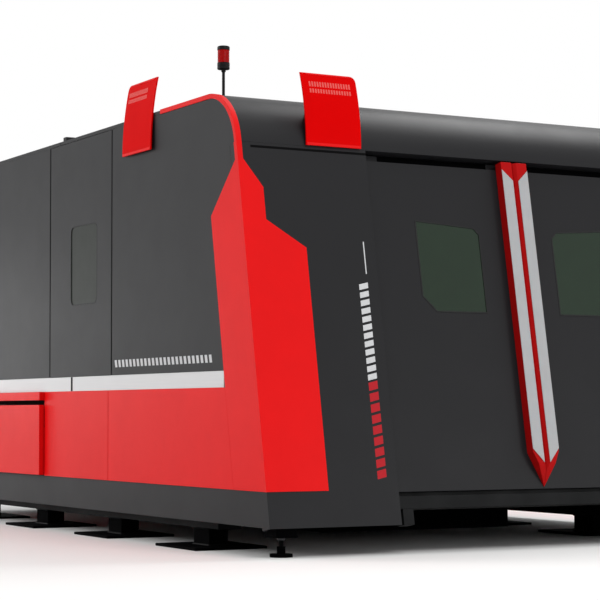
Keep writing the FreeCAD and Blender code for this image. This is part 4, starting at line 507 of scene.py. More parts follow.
def close_rings(shape, low, high):
    """A closed solid between two rings."""
    shape.faces.new(low[::-1])
    shape.faces.new(high)
    join_rings(shape, low, high)


def add_prism(shape, corners, low, high, place=Matrix.Identity(4)):
    """A straight prism over an outline, between two heights along w."""
    close_rings(shape, add_ring(shape, corners, place, low), add_ring(shape, corners, place, high))


def add_block(shape, low, high, place=Matrix.Identity(4)):
    """A block between two opposite corners."""
    add_prism(shape, oblong(low[0], high[0], low[1], high[1]), low[2], high[2], place)


def add_turned(shape, profile, sides, place=Matrix.Identity(4)):
    """A turned piece: (radius, height) points about w, closed where a radius is 0."""
    rings = []
    for radius, height in profile:
        if radius:
            rings.append(add_ring(shape, polygon(sides, radius), place, height))
        else:
            rings.append(add_ring(shape, [(0, 0)], place, height) * sides)
    for low, high in zip(rings, rings[1:]):
        join_rings(shape, low, high)


def add_bead(shape, path, section):
    """A closed bar of constant section along a path of places, with u and v across it."""
    rings = [add_ring(shape, section, place) for place in path]
    for here, there in zip(rings, rings[1:] + rings[:1]):
        join_rings(shape, here, there)


def add_socket_screw(shape, size, place):
    """A cap screw's head with its socket; size is the thread, w points outward."""
    head, key, floor = 0.75 * size, 0.42 * size, 0.45 * size
    edge = ((head, 0.88 * size), (0.9 * head, size))
    profile = ((0, 0), (head, 0), *edge, (1.1 * key, size), (key, floor), (0, floor))
    add_turned(shape, profile, 12, place)


def oblong(left, right, low, high):
    """The outline of an upright rectangle."""
    return ((left, low), (right, low), (right, high), (left, high))


def polygon(sides, radius, turn=0.0):
    """The corners of a regular outline."""
    turns = [2 * math.pi * i / sides + turn for i in range(sides)]
    return [(radius * math.cos(a), radius * math.sin(a)) for a in turns]


def facing(point, outward):
    """A place at a point whose w looks outward and whose v looks up."""
    w = Vector(outward)
    place = Matrix((Vector(UP).cross(w), UP, w)).transposed().to_4x4()
    place.translation = Vector(point)
    return place


def leaning_place(depth, up):
    """A place on the leaning front: u across, v up the slope, w out of the front."""
    s, c = math.sin(LEAN), math.cos(LEAN)
    place = Matrix(((1, 0, 0), (0, s, -c), (0, c, s))).to_4x4()
    place.translation = Vector((0, FRONT + depth * c + up * s, BASE + up * c - depth * s))
    return place


def up_slope(height):
    """How far up the leaning front a height is."""
    return (height - BASE) / math.cos(LEAN)


def walk_round(corners):
    """Each corner of a closed outline, between the one before it and the one after."""
    return zip(corners[-1:] + corners, corners, corners[1:] + corners[:1])


def mitred_path(corners, place):
    """Places along a closed outline, w along it, u outward in its plane, v along the normal."""
    path, normal = [], Vector(UP)
    for last, point, following in walk_round([Vector((u, v, 0)) for u, v in corners]):
        before, after = (point - last).normalized(), (following - point).normalized()
        along = (before + after).normalized()
        across = along.cross(normal)
        stretch = 1 / before.cross(normal).dot(across)
        local = Matrix((across * stretch, normal, along)).transposed().to_4x4()
        local.translation = point
        path.append(place @ local)
    return path


def new_film(name, finish, nodes, outlines, place, height):
    """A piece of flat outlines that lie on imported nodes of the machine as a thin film."""
    vertices, faces = [], []
    for node in nodes:
        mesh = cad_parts[node].data
        start = len(vertices)
        vertices.extend(vertex.co.copy() for vertex in mesh.vertices)
        faces.extend([start + i for i in face.vertices] for face in mesh.polygons)
    surface = BVHTree.FromPolygons(vertices, faces)
    inward = -(place.to_3x3() @ Vector(UP))
    shape = bmesh.new()
    for outline in outlines:
        under, over = [], []
        for u, v in outline:
            hit, normal = surface.ray_cast(place @ Vector((u, v, 0)), inward)[:2]
            if hit is None:
                raise RuntimeError("a film misses the sheet that it lies on")
            under.append(shape.verts.new(hit + normal * height * FILM_GAP))
            over.append(shape.verts.new(hit + normal * height * (1 + FILM_GAP)))
        close_rings(shape, under, over)
    new_piece(name, shape, finish, "machine")


# --------------------------------------------------------------- operators


class MACHINE_OT_finish_packed_pieces(bpy.types.Operator):
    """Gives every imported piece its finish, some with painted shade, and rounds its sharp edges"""

    bl_idname = "machine.finish_packed_pieces"
    bl_label = "Finish packed pieces"

    FINE = {"rail_steel", "head_alloy", "nozzle_copper", "black_plastic", "red_lens"}
    BARS = {"frame_paint", "bed_paint", "gantry_alloy"}
    PLAIN = {"bare_steel", "laser_glass"}
    # The pieces whose coat isn't their slot's own.
    COATS = {
        # Painted shade: the door rail and header sit in the gap over the doors, the fume plenum and
        # feet under the machine; the feet's black is partly their own.
        "black_enamel": ("door_rail", "door_header", "fume_plenum", "bed_feet", "levelling_feet"),
        # The door strips' deeper red is partly painted shade of their recessed channel.
        "strip_red": ("door_left_strip", "door_right_strip"),
        "flag_red": ("flag_front", "flag_side"),
        # The side window gets a darker, matt copy of the laser glass: its darker tint is painted
        # shade.
        "matt_glass": ("side_door_window",),
        # The sill's darker tube paint is painted shade under the doors.
        "frame_paint": ("sill_frame", "sill_legs"),
        "panel_dark": ("laser_cabinet", "control_cabinet"),
    }

    def execute(self, context):
        scene = context.scene
        FINISHES.update(make_finishes(scene.machine_paint))
        edges = scene.machine_edges
        coats = {name: coat for coat, names in self.COATS.items() for name in names}
        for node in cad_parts.values():
            slot = node.data.materials[0].name
            node.data.materials[0] = FINISHES[coats.get(node.name, slot)]
            if slot in self.PLAIN:
                continue
            radius = edges.sheet_radius
            if slot in self.BARS:
                radius = edges.bar_radius
            elif slot in self.FINE:
                radius = edges.fine_radius
            self.soften(node, radius, edges.steps)
        return {"FINISHED"}

    def soften(self, node, radius, steps):
        """Joins the facets' shared corners, rounds the edges and evens the shading."""
        weld = node.modifiers.new("joined_facets", "WELD")
        weld.merge_threshold = 0.01 * MM
        round_edges(node, radius, steps)
        shading = node.modifiers.new("even_shading", "WEIGHTED_NORMAL")
        shading.weight = 80


class MACHINE_OT_add_side_marks(bpy.types.Operator):
    """Prints a row of plain slanted bars along the left wall, over the bright profile"""

    bl_idname = "machine.add_side_marks"
    bl_label = "Side bars"

    # The row's ends along the machine and its heights, and how far a bar's top lies from its foot.
    START, END, LOW, HIGH = 0.765, 1.985, 0.926, 0.965
    WIDTH, PITCH, SLANT = 0.027, 0.048, -0.010

    def execute(self, context):
        low, high, bars = self.LOW, self.HIGH, []
        for i in range(int((self.END - self.START) / self.PITCH)):
            foot = self.START + self.PITCH * i
            top = foot + self.SLANT
            foot_end, top_end = foot + self.WIDTH, top + self.WIDTH
            bars.append(((foot, low), (foot_end, low), (top_end, high), (top, high)))
        place = facing((WALL_LEFT - STAND_OFF, 0, 0), OUT_LEFT)
        film = context.scene.machine_trim.film
        new_film("side_bars", "pale_print", ["left_panel_front"], bars, place, film)
        return {"FINISHED"}


class MACHINE_OT_add_column_marks(bpy.types.Operator):
    """Prints two rows of plain slanted bars, pale above red, up the left column"""

    bl_idname = "machine.add_column_marks"
    bl_label = "Column bars"

    # From the left wall: the bars' ends and the thin line's edge. A bar rises by RISE.
    LEFT, RIGHT, LINE, RISE = 0.608, 0.659, 0.653, 0.012
    # Each row's lowest and highest height, and the bars' width and gap.
    RED = (0.36, 0.825, 0.040, 0.014)
    PALE = (0.835, 1.345, 0.028, 0.013)
    # The thin line's heights.
    THIN = (1.36, 1.52)

    def execute(self, context):
        place, film = leaning_place(-STAND_OFF, 0), context.scene.machine_trim.film
        thin = oblong(WALL_LEFT + self.LINE, WALL_LEFT + self.RIGHT, *map(up_slope, self.THIN))
        red, pale = self.rising(*self.RED), [*self.rising(*self.PALE), thin]
        new_film("column_red_bars", "red_print", ["column_left"], red, place, film)
        new_film("column_pale_bars", "pale_print", ["column_left"], pale, place, film)
        return {"FINISHED"}

    def rising(self, low, high, width, gap):
        """Slanted bars one over another up the column."""
        left, right, v, rows = WALL_LEFT + self.LEFT, WALL_LEFT + self.RIGHT, up_slope(low), []
        while v + width <= up_slope(high):
            top = v + self.RISE
            rows.append(((left, v), (right, top), (right, top + width), (left, v + width)))
            v += width + gap
        return rows


class MACHINE_OT_add_flag_marks(bpy.types.Operator):
    """Prints two rows of plain bars on both flag plates and adds painted highlights along the
    plates' top and bottom edges
    """

    bl_idname = "machine.add_flag_marks"
    bl_label = "Flag bars and rims"

    # Each row's low and high edge under the plate's top, and its space from the plate's ends.
    ROWS = ((0.070, 0.044), (0.102, 0.081))
    BAR, PITCH = 0.009, 0.015
    FRONT_SPACE, SIDE_SPACE = (0.040, 0.028), (0.028, 0.080)
    # The painted highlights' edges from the plate's bottom and from its top, whose corners are cut.
    LOW_RIM, TOP_RIM = (0.001, 0.014), (-0.009, -0.001)
    RIM_HEIGHT, INSET, CORNER = 0.0015, 0.004, 0.030

    def execute(self, context):
        film = context.scene.machine_trim.film
        low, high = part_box("flag_front")
        place = facing((0, FRONT - STAND_OFF, 0), OUT_FRONT)
        self.mark("flag_front", place, low.x, high.x, self.FRONT_SPACE, film)
        low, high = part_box("flag_side")
        place = facing((WALL_LEFT - STAND_OFF, 0, 0), OUT_LEFT)
        self.mark("flag_side", place, -high.y, -low.y, self.SIDE_SPACE, film)
        return {"FINISHED"}

    def mark(self, name, place, left, right, space, film):
        """The bars and the painted edge highlights of one plate."""
        bottom, top = (corner.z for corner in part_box(name))
        start, end, bars = left + space[0], right - space[1], []
        for low, high in self.ROWS:
            for i in range(int((end - start) / self.PITCH)):
                u = start + self.PITCH * i
                bars.append(oblong(u, u + self.BAR, top - low, top - high))
        new_film(f"{name}_bars", "faint_print", [name], bars, place, film)
        # Strips of the lighter panel red along the plate's bottom and top edges: painted highlights
        # where the edges catch the light.
        left, right = left + self.INSET, right - self.INSET
        rim_highlights = [
            oblong(left, right, *(bottom + edge for edge in self.LOW_RIM)),
            oblong(left + self.CORNER, right - self.CORNER, *(top + edge for edge in self.TOP_RIM)),
        ]
        new_film(f"{name}_rims", "panel_red", [name], rim_highlights, place, self.RIM_HEIGHT)


class MACHINE_OT_add_joint_strips(bpy.types.Operator):
    """Adds black rubber strips in the walls' seams and over the profiles' joints, whose black is
    partly painted shade of the seams, and a painted shadow line under the roof
    """

    bl_idname = "machine.add_joint_strips"
    bl_label = "Joint strips"

    # The strip under the roof front's lip, a painted shadow line, from the machine's side.
    LIP_START, LIP_HEIGHT = 0.073, 0.012
    STRIP_HEIGHT, EDGE, SEAM_END = 0.5 * MM, 1 * MM, 4 * MM
    PROFILE_JOINT = -0.1545

    def execute(self, context):
        trim = context.scene.machine_trim
        width, half = trim.joint_width, trim.cover_width / 2
        low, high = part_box("left_panel_front")
        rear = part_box("left_panel_rear")[0].y
        seam = (low.z + self.SEAM_END, high.z - self.SEAM_END)
        low_profile, high_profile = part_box("side_stripes")
        cover = (low_profile.z + self.EDGE, high_profile.z - self.EDGE)
        # Each strip's two ends along the machine, and its heights.
        strips = (
            (high.y - width, high.y - self.EDGE, *seam),
            (rear + self.EDGE, rear + width, *seam),
            (self.PROFILE_JOINT - half, self.PROFILE_JOINT + half, *cover),
        )
        walls = ((WALL_LEFT - STAND_OFF, OUT_LEFT), (WALL_RIGHT + STAND_OFF, OUT_RIGHT))
        for (side, sign), (x, outward) in zip(SIDES, walls):
            outlines = [
                oblong(*sorted((sign * start, sign * end)), *z) for start, end, *z in strips
            ]
            nodes = [f"{side}_panel_front", f"{side}_panel_rear", "side_stripes"]
            name, place = f"{side}_joint_strips", facing((x, 0, 0), outward)
            new_film(name, "joint_rubber", nodes, outlines, place, self.STRIP_HEIGHT)
        self.lip_shadow_strips()
        return {"FINISHED"}

    def lip_shadow_strips(self):
        """Black strips on the columns, just under the roof front's lip: a painted shadow line."""
        top = up_slope(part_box("roof_front")[0].z)
        outer, inner = WALL_LEFT + self.LIP_START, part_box("column_left")[1].x
        strips = [
            oblong(left, right, top - self.LIP_HEIGHT, top)
            for left, right in ((outer, inner), (2 * MIDDLE - inner, 2 * MIDDLE - outer))
        ]
        nodes, place = ["column_left", "column_right"], leaning_place(-STAND_OFF, 0)
        new_film("roof_lip_shadow_strips", "joint_rubber", nodes, strips, place, self.STRIP_HEIGHT)


class MACHINE_OT_add_window_seals(bpy.types.Operator):
    """Adds the rubber seals round the doors' windows and the painted one round the side's"""

    bl_idname = "machine.add_window_seals"
    bl_label = "Window seals"

    # The door windows from the middle of the front, and their heights.
    INNER, OUTER = 0.225, 0.612
    LOW, HIGH, RISE = 1.188, 1.631, 0.024
    CHAMFER, CUT = 0.080, 0.034
    # How deep a seal reaches into its opening, and its crown in shares of its width and height.
    BEHIND, CROWN = -2.4 * MM, ((0, 0.5), (0.35, 1), (1, 0.4))
    # The side window's edge under its opening's, its corners, and its thinner seal.
    LAP, RADIUS, STEPS = 14 * MM, 40 * MM, 6
    SIDE_SHARE, SIDE_PROUD = 0.6, 0.4 * MM

    def execute(self, context):
        trim = context.scene.machine_trim
        width = trim.seal_width
        crown = [(-width * u, trim.seal_proud * v) for u, v in self.CROWN]
        section = ((0, self.BEHIND), *crown, (-width, self.BEHIND))
        low, high = up_slope(self.LOW), up_slope(self.HIGH)
        profile = (
            (self.INNER, low),
            (self.OUTER - self.CHAMFER, low),
            (self.OUTER, low + self.CHAMFER),
            (self.OUTER, high + self.RISE),
            (self.INNER + self.CUT, high),
            (self.INNER, high - self.CUT),
        )
        for side, sign in SIDES:
            corners = [(MIDDLE + sign * across, up) for across, up in profile][::sign]
            shape = bmesh.new()
            add_bead(shape, mitred_path(corners, leaning_place(DOOR_RECESS, 0)), section)
            new_piece(f"door_{side}_window_seal", shape, "rubber", f"door_{side}", smooth=35)
        shape = bmesh.new()
        thinner = [(u * self.SIDE_SHARE, min(v, self.SIDE_PROUD)) for u, v in section]
        place = facing((WALL_LEFT, 0, 0), OUT_LEFT)
        add_bead(shape, mitred_path(self.side_outline(), place), thinner)
        new_piece("side_window_seal", shape, "panel_dark", "side_door", smooth=35)
        return {"FINISHED"}

    def side_outline(self):
        """The outline of the side window's opening, with its rounded corners."""
        low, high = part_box("side_door_window")
        inset = self.LAP + self.RADIUS
        left, right, bottom, top = inset - high.y, -low.y - inset, low.z + inset, high.z - inset
        corners = []
        middles = ((right, bottom), (right, top), (left, top), (left, bottom))
        for quarter, (u, v) in enumerate(middles):
            for i in range(self.STEPS + 1):
                turn = math.pi / 2 * (quarter - 1 + i / self.STEPS)
                corners.append((u + self.RADIUS * math.cos(turn), v + self.RADIUS * math.sin(turn)))
        return corners


class MACHINE_OT_add_door_lips(bpy.types.Operator):
    """Adds the folded lips that stand up from the top edges of the sliding doors"""

    bl_idname = "machine.add_door_lips"
    bl_label = "Door lips"

    LEAF_TOP = 1.930
    HEIGHT, SHEET, GAP, ROOT = 13 * MM, 2.5 * MM, 1 * MM, 2 * MM

    def execute(self, context):
        place = leaning_place(DOOR_RECESS, up_slope(self.LEAF_TOP))
        for side, sign in SIDES:
            body = f"door_{side}"
            # The lip ends at the strip, and at the leaf's other end.
            outer = 0 if sign < 0 else 1
            inner_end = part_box(f"{body}_strip")[outer].x + sign * self.GAP
            left, right = sorted((inner_end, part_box(f"{body}_leaf")[outer].x))
            shape = bmesh.new()
            add_block(shape, (left, -self.ROOT, -self.SHEET), (right, self.HEIGHT, 0), place)
            new_piece(f"{body}_lip", shape, "panel_dark", body, radius=0.8 * MM)
        return {"FINISHED"}


class MACHINE_OT_add_stack_light(bpy.types.Operator):
    """Builds the stack light's ribbed lens, cap, base and pole with its collar"""

    bl_idname = "machine.add_stack_light"
    bl_label = "Stack light"

    # A rib's outline: how far it is cut in, of the ribs' depth, and where up its pitch.
    RIB = ((1, 0.06), (0, 0.3), (0, 0.7), (1, 0.94))
    RIBS, RIB_DEPTH = 9, 1.2 * MM
    # (radius, height) in millimetres: the foot and pole from the roof, the base from the
    # lens down and the cap from its top down, the last two with radii less than the widest.
    FOOT = ((0, 0), (26, 0), (26, 3), (15, 5), (12, 16), (7.5, 18))
    COLLAR = ((7.5, -47), (11, -45), (12, -33))
    BASE_LOW, BASE_TOP = ((2.5, -33), (0, -30.5)), ((0, -0.5), (0.5, 0))
    GROOVE = ((0, -19), (0.8, -18), (0.8, -16.5), (0, -15.5))
    CAP_LOW, CAP_EDGE = ((0.5, 0), (0, 0.5)), ((0, -6), (1.8, -1.8), (6, 0))

    def execute(self, context):
        low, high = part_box("stack_light_lens")
        foot, cap_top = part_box("stack_light_stem")
        place = Matrix.Translation(((low.x + high.x) / 2, (low.y + high.y) / 2, 0))
        radius, widest = (high.x - low.x) / 2, (cap_top.x - foot.x) / 2
        pitch = (high.z - low.z) / self.RIBS
        lens = [(0, low.z)]
        for i in range(self.RIBS):
            for cut, up in self.RIB:
                lens.append((radius - cut * self.RIB_DEPTH, low.z + pitch * (i + up)))
        lens.append((0, high.z))
        stem = [(r * MM, foot.z + z * MM) for r, z in self.FOOT]
        stem += [(r * MM, low.z + z * MM) for r, z in self.COLLAR]
        base = self.BASE_LOW + self.GROOVE + self.BASE_TOP
        stem += [(widest - r * MM, low.z + z * MM) for r, z in base]
        stem.append((0, low.z))
        cap = [(0, high.z)]
        cap += [(widest - r * MM, high.z + z * MM) for r, z in self.CAP_LOW]
        cap += [(widest - r * MM, cap_top.z + z * MM) for r, z in self.CAP_EDGE]
        cap.append((0, cap_top.z))
        shape = bmesh.new()
        add_turned(shape, lens, 48, place)
        piece = new_piece("ribbed_lens", shape, "red_lens", "machine", smooth=60)
        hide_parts("stack_light_lens")
        shape = bmesh.new()
        add_turned(shape, stem, 40, place)
        add_turned(shape, cap, 40, place)
        finish = "black_plastic"
        piece = new_piece("stack_light_body", shape, finish, "machine", smooth=35)
        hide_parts("stack_light_stem")
        return {"FINISHED"}


class MACHINE_OT_add_feet_fittings(bpy.types.Operator):
    """Adds weld beads to the foot plates, and threads and lock nuts to the levelling feet"""

    bl_idname = "machine.add_feet_fittings"
    bl_label = "Feet fittings"

    ROWS, BEAMS = (-1.6275, -0.5425, 0.5425, 1.6275), (-1.2, 1.2)
    # Half a post's section, and the heights of the welds at its ends with their way up or down.
    POST, WELDS = (0.053, 0.090), ((0.014, 1), (0.100, -1))
    # A bead's ripples: their length, their sizes by turns, and its reach round a corner.
    RIPPLE, SWELLS, CORNER = 9 * MM, (0.82, 1.0), 1.2
    # Its section in legs, with a slightly rounded face.
    SECTION = ((0, 0), (1, 0), (0.6, 0.6), (0, 1))
    # The thread runs from the foot's nut up to the bracket; the feet stand in from the corners.
    NUT_TOP, BRACKET, FOOT_INSET = 0.050, 0.092, 0.059
    MAJOR, MINOR, LOCK_NUT, NUT_HEIGHT, NUT_TURN = 11.2 * MM, 10.0 * MM, 20 * MM, 13 * MM, 0.3

    def execute(self, context):
        trim = context.scene.machine_trim
        shape = bmesh.new()
        for x in self.BEAMS:
            for y in self.ROWS:
                for z, way in self.WELDS:
                    self.weld_round(shape, Vector((x, y, z)), way, trim.weld_size)
        new_piece("foot_welds", shape, "weld", "machine", smooth=50)
        self.threads(trim.thread_pitch)
        return {"FINISHED"}

    def weld_round(self, shape, middle, way, leg):
        """A rippled fillet bead round a post's end, that grows up or down the post."""
        half_x, half_y = self.POST
        corners = [Vector((*corner, 0)) for corner in oblong(-half_x, half_x, -half_y, half_y)]
        path = []
        for last, corner, following in walk_round(corners):
            edge = following - corner
            out = edge.cross(Vector(UP)).normalized()
            before = (corner - last).cross(Vector(UP)).normalized()
            count = max(2, round(edge.length / self.RIPPLE))
            for step in range(count):
                swell = self.SWELLS[step % 2]
                aside = out if step else (out + before).normalized() * self.CORNER
                rise = Vector((0, 0, way * swell))
                place = Matrix((aside * swell, rise, Vector())).transposed().to_4x4()
                place.translation = middle + corner + edge * step / count
                path.append(place)
        add_bead(shape, path, [(u * leg, v * leg) for u, v in self.SECTION])

    def threads(self, pitch):
        """A threaded stem and a lock nut under each bracket."""
        low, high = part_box("levelling_feet")
        inset, bottom = self.FOOT_INSET, self.BRACKET - self.NUT_HEIGHT
        turns = int((self.BRACKET - self.NUT_TOP) / pitch)
        thread = [(0, self.NUT_TOP)]
        for i in range(turns):
            for radius, share in ((self.MINOR, 0.1), (self.MAJOR, 0.5), (self.MINOR, 0.9)):
                thread.append((radius, self.NUT_TOP + pitch * (i + share)))
        thread.append((0, self.NUT_TOP + pitch * turns))
        hexagon = polygon(6, self.LOCK_NUT, self.NUT_TURN)
        threads, nuts = bmesh.new(), bmesh.new()
        for x in (low.x + inset, high.x - inset):
            for y in (low.y + inset, high.y - inset):
                place = Matrix.Translation((x, y, 0))
                add_turned(threads, thread, 20, place)
                add_prism(nuts, hexagon, bottom, self.BRACKET, place)
        new_piece("foot_threads", threads, "screw", "machine", smooth=20)
        new_piece("foot_lock_nuts", nuts, "screw", "machine", radius=1 * MM)


class MACHINE_OT_add_rail_fittings(bpy.types.Operator):
    """Adds screws to the rails and guide blocks under the gantry and behind the carriage"""

    bl_idname = "machine.add_rail_fittings"
    bl_label = "Rail fittings"

    # A rail's middle from its edge.
    BED_RAIL, BEAM_RAIL = 17 * MM, 10 * MM
    # A screw cap's radius and the radius of its top, and how far it stands up and reaches in.
    BED_CAP, BEAM_CAP = (6 * MM, 5.4 * MM), (4.5 * MM, 4 * MM)
    CAP_HEIGHT, CAP_ROOT = 0.25 * MM, 0.05 * MM
    # A block's near and far side from its rail's middle, and half its length.
    BED_BLOCK, BEAM_BLOCK = (18 * MM, 31.5 * MM, 60 * MM), (10.6 * MM, 24 * MM, 40 * MM)
    # The blocks' places from the gantry's middle and from the carriage's sides, and their roots.
    BLOCK_REACH, CARRIAGE_INSET, BLOCK_ROOT = 0.2, 60 * MM, 1 * MM
    BED_CLEARANCE, BEAM_CLEARANCE = 4 * MM, 3 * MM

    def execute(self, context):
        pitch = context.scene.machine_trim.rail_screw_pitch
        low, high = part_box("y_rails")
        rail_low, bed_rails = low.z, (low.x + self.BED_RAIL, high.x - self.BED_RAIL)
        screws, top = self.spaced(low.y, high.y, pitch), high.z - self.CAP_ROOT
        places = [Matrix.Translation((x, y, top)) for y in screws for x in bed_rails]
        self.caps("bed_rail_screw_caps", places, self.BED_CAP, "machine")
        low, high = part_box("x_rails")
        rail_back, beam_rails = high.y, (low.z + self.BEAM_RAIL, high.z - self.BEAM_RAIL)
        screws, front = self.spaced(low.x, high.x, pitch), low.y + self.CAP_ROOT
        places = [facing((x, front, z), OUT_FRONT) for x in screws for z in beam_rails]
        self.caps("beam_rail_screw_caps", places, self.BEAM_CAP, "gantry")
        self.gantry_blocks(bed_rails, rail_low + self.BED_CLEARANCE)
        self.carriage_blocks(beam_rails, rail_back - self.BEAM_CLEARANCE)
        return {"FINISHED"}

    def spaced(self, start, end, pitch):
        """The screws' places along a rail."""
        return [start + pitch * (i + 0.5) for i in range(int((end - start) / pitch))]

    def caps(self, name, places, radii, body):
        """The caps over the screws of two rails."""
        profile = ((0, 0), (radii[0], 0), (radii[1], self.CAP_HEIGHT), (0, self.CAP_HEIGHT))
        shape = bmesh.new()
        for place in places:
            add_turned(shape, profile, 12, place)
        new_piece(name, shape, "screw", body, smooth=30)

    def gantry_blocks(self, rails, bottom):
        """Guide blocks that reach down beside the bed's rails."""
        low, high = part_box("gantry")
        middle, top = (low.y + high.y) / 2, low.z + self.BLOCK_ROOT
        near, far, half = self.BED_BLOCK
        shape = bmesh.new()
        for x in rails:
            for y in (middle - self.BLOCK_REACH, middle + self.BLOCK_REACH):
                for left, right in ((x - far, x - near), (x + near, x + far)):
                    add_block(shape, (left, y - half, bottom), (right, y + half, top))
        self.finish_blocks("gantry_guide_blocks", shape, "gantry")

    def carriage_blocks(self, rails, back):
        """Guide blocks behind the cross carriage, over and under the beam's rails."""
        low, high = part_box("cross_carriage")
        front, near, far, half = high.y - self.BLOCK_ROOT, *self.BEAM_BLOCK
        shape = bmesh.new()
        for z in rails:
            for x in (low.x + self.CARRIAGE_INSET, high.x - self.CARRIAGE_INSET):
                for under, over in ((z - far, z - near), (z + near, z + far)):
                    add_block(shape, (x - half, front, under), (x + half, back, over))
        self.finish_blocks("carriage_guide_blocks", shape, "cross_carriage")

    def finish_blocks(self, name, shape, body):
        """The blocks' ground steel, with broken edges."""
        new_piece(name, shape, "rail_steel", body, radius=1 * MM)


class MACHINE_OT_add_head_fittings(bpy.types.Operator):
    """Adds the cover glass drawers, hose fittings and screws of the cutting head"""

    bl_idname = "machine.add_head_fittings"
    bl_label = "Head fittings"

    DRAWERS = (1.215, 1.285)
    # A drawer's half width, half height and how far it stands out and reaches in, and its knobs.
    DRAWER, DRAWER_ROOT = (26 * MM, 11 * MM, 5 * MM), 0.5 * MM
    KNOB_SPACE = 17 * MM
    KNOB = ((0, 4.5), (4.5, 4.5), (4.5, 9), (3.8, 10), (0, 10))
    # The hoses' places on the head, and their fittings' nuts and barbs, in millimetres.
    HOSES = ((-22, 24), (22, 24), (0, 60))
    NUT, NUT_HEIGHT, NUT_ROOT, BARB_END = 7, 6, 1, 21
    BARBS, BARB_PITCH, BARB = 3, 5, ((4.0, 6), (4.8, 7), (3.4, 11))
    SCREW_SPACE, SCREW_INSET, SCREW = 110 * MM, 25 * MM, 8 * MM

    def execute(self, context):
        low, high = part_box("cutting_head")
        middle = (low.x + high.x) / 2
        half, tall, deep = self.DRAWER
        knob = [(r * MM, w * MM) for r, w in self.KNOB]
        shape = bmesh.new()
        for z in self.DRAWERS:
            place = facing((middle, low.y, z), OUT_FRONT)
            add_block(shape, (-half, -tall, -self.DRAWER_ROOT), (half, tall, deep), place)
            for u in (-self.KNOB_SPACE, self.KNOB_SPACE):
                add_turned(shape, knob, 16, place @ Matrix.Translation((u, 0, 0)))
        finish, body = "black_plastic", "cutting_head"
        new_piece("cover_glass_drawers", shape, finish, body, radius=0.6 * MM, smooth=35)

        barb = [(0, self.NUT_HEIGHT * MM)]
        for i in range(self.BARBS):
            barb += [(r * MM, (w + self.BARB_PITCH * i) * MM) for r, w in self.BARB]
        barb.append((0, self.BARB_END * MM))
        shape = bmesh.new()
        for x, y in self.HOSES:
            foot = (middle + x * MM, low.y + y * MM, high.z - self.NUT_ROOT * MM)
            place = Matrix.Translation(foot)
            add_prism(shape, polygon(6, self.NUT * MM), 0, self.NUT_HEIGHT * MM, place)
            add_turned(shape, barb, 14, place)
        new_piece("head_hose_fittings", shape, "nozzle_copper", body, smooth=35)

        low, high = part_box("cross_carriage")
        bottom, top = low.z + self.SCREW_INSET, high.z - self.SCREW_INSET
        shape = bmesh.new()
        for x in (middle - self.SCREW_SPACE, middle + self.SCREW_SPACE):
            for z in (bottom, (bottom + top) / 2, top):
                add_socket_screw(shape, self.SCREW, facing((x, low.y, z), OUT_FRONT))
        new_piece("carriage_screws", shape, "screw", "cross_carriage", smooth=35)
        return {"FINISHED"}


class MACHINE_OT_add_cabinet_fittings(bpy.types.Operator):
    """Adds door panels, latches and louvres to the cabinets on the right"""

    bl_idname = "machine.add_cabinet_fittings"
    bl_label = "Cabinet fittings"

    # Each cabinet with its count of doors.
    CABINETS = (("laser_cabinet", 1), ("control_cabinet", 2))
    SIDE_GAP, END_GAP, PROUD, ROOT = 12 * MM, 20 * MM, 2.5 * MM, 1 * MM
    LATCH = ((0, 0), (13, 0), (12, 4), (5, 4), (4, 2), (0, 2))
    LATCH_INSET, LATCH_PROUD, LATCH_SHARES = 45 * MM, 2 * MM, (0.2, 0.5, 0.8)
    # A louvre is drawn in v and w, and runs along u.
    LOUVRE = ((0, 0), (0.012, 0), (0.012, 0.001), (0, 0.006))
    ALONG = Matrix(((0, 0, 1, 0), (1, 0, 0, 0), (0, 1, 0, 0), (0, 0, 0, 1)))
    LOUVRES, LOUVRE_START, LOUVRE_PITCH, LOUVRE_HALF, LOUVRE_SHIFT = 8, 0.18, 0.022, 0.12, 0.18
    LOUVRE_PROUD = 2.4 * MM

    def execute(self, context):
        latch = [(r * MM, w * MM) for r, w in self.LATCH]
        doors, latches, louvres = bmesh.new(), bmesh.new(), bmesh.new()
        for node, count in self.CABINETS:
            low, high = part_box(node)
            width = (high.y - low.y) / count
            half = width / 2 - self.SIDE_GAP
            for i in range(count):
                place = facing((high.x, low.y + width * (i + 0.5), 0), OUT_RIGHT)
                low_corner = (-half, low.z + self.END_GAP, -self.ROOT)
                add_block(doors, low_corner, (half, high.z - self.END_GAP, self.PROUD), place)
                y = low.y + width * (i + 1) - self.LATCH_INSET
                for share in self.LATCH_SHARES:
                    z = low.z + (high.z - low.z) * share
                    place = facing((high.x + self.LATCH_PROUD, y, z), OUT_RIGHT)
                    add_turned(latches, latch, 20, place)
            y = (low.y + high.y) / 2 - self.LOUVRE_SHIFT
            for i in range(self.LOUVRES):
                z = low.z + self.LOUVRE_START + self.LOUVRE_PITCH * i
                place = facing((high.x + self.LOUVRE_PROUD, y, z), OUT_RIGHT) @ self.ALONG
                add_prism(louvres, self.LOUVRE, -self.LOUVRE_HALF, self.LOUVRE_HALF, place)
        coat, slot = "panel_dark", "frame_paint"
        new_piece("cabinet_doors", doors, coat, "machine", radius=1.5 * MM)
        new_piece("cabinet_latches", latches, "screw", "machine", smooth=35)
        new_piece("cabinet_louvres", louvres, coat, "machine")
        return {"FINISHED"}


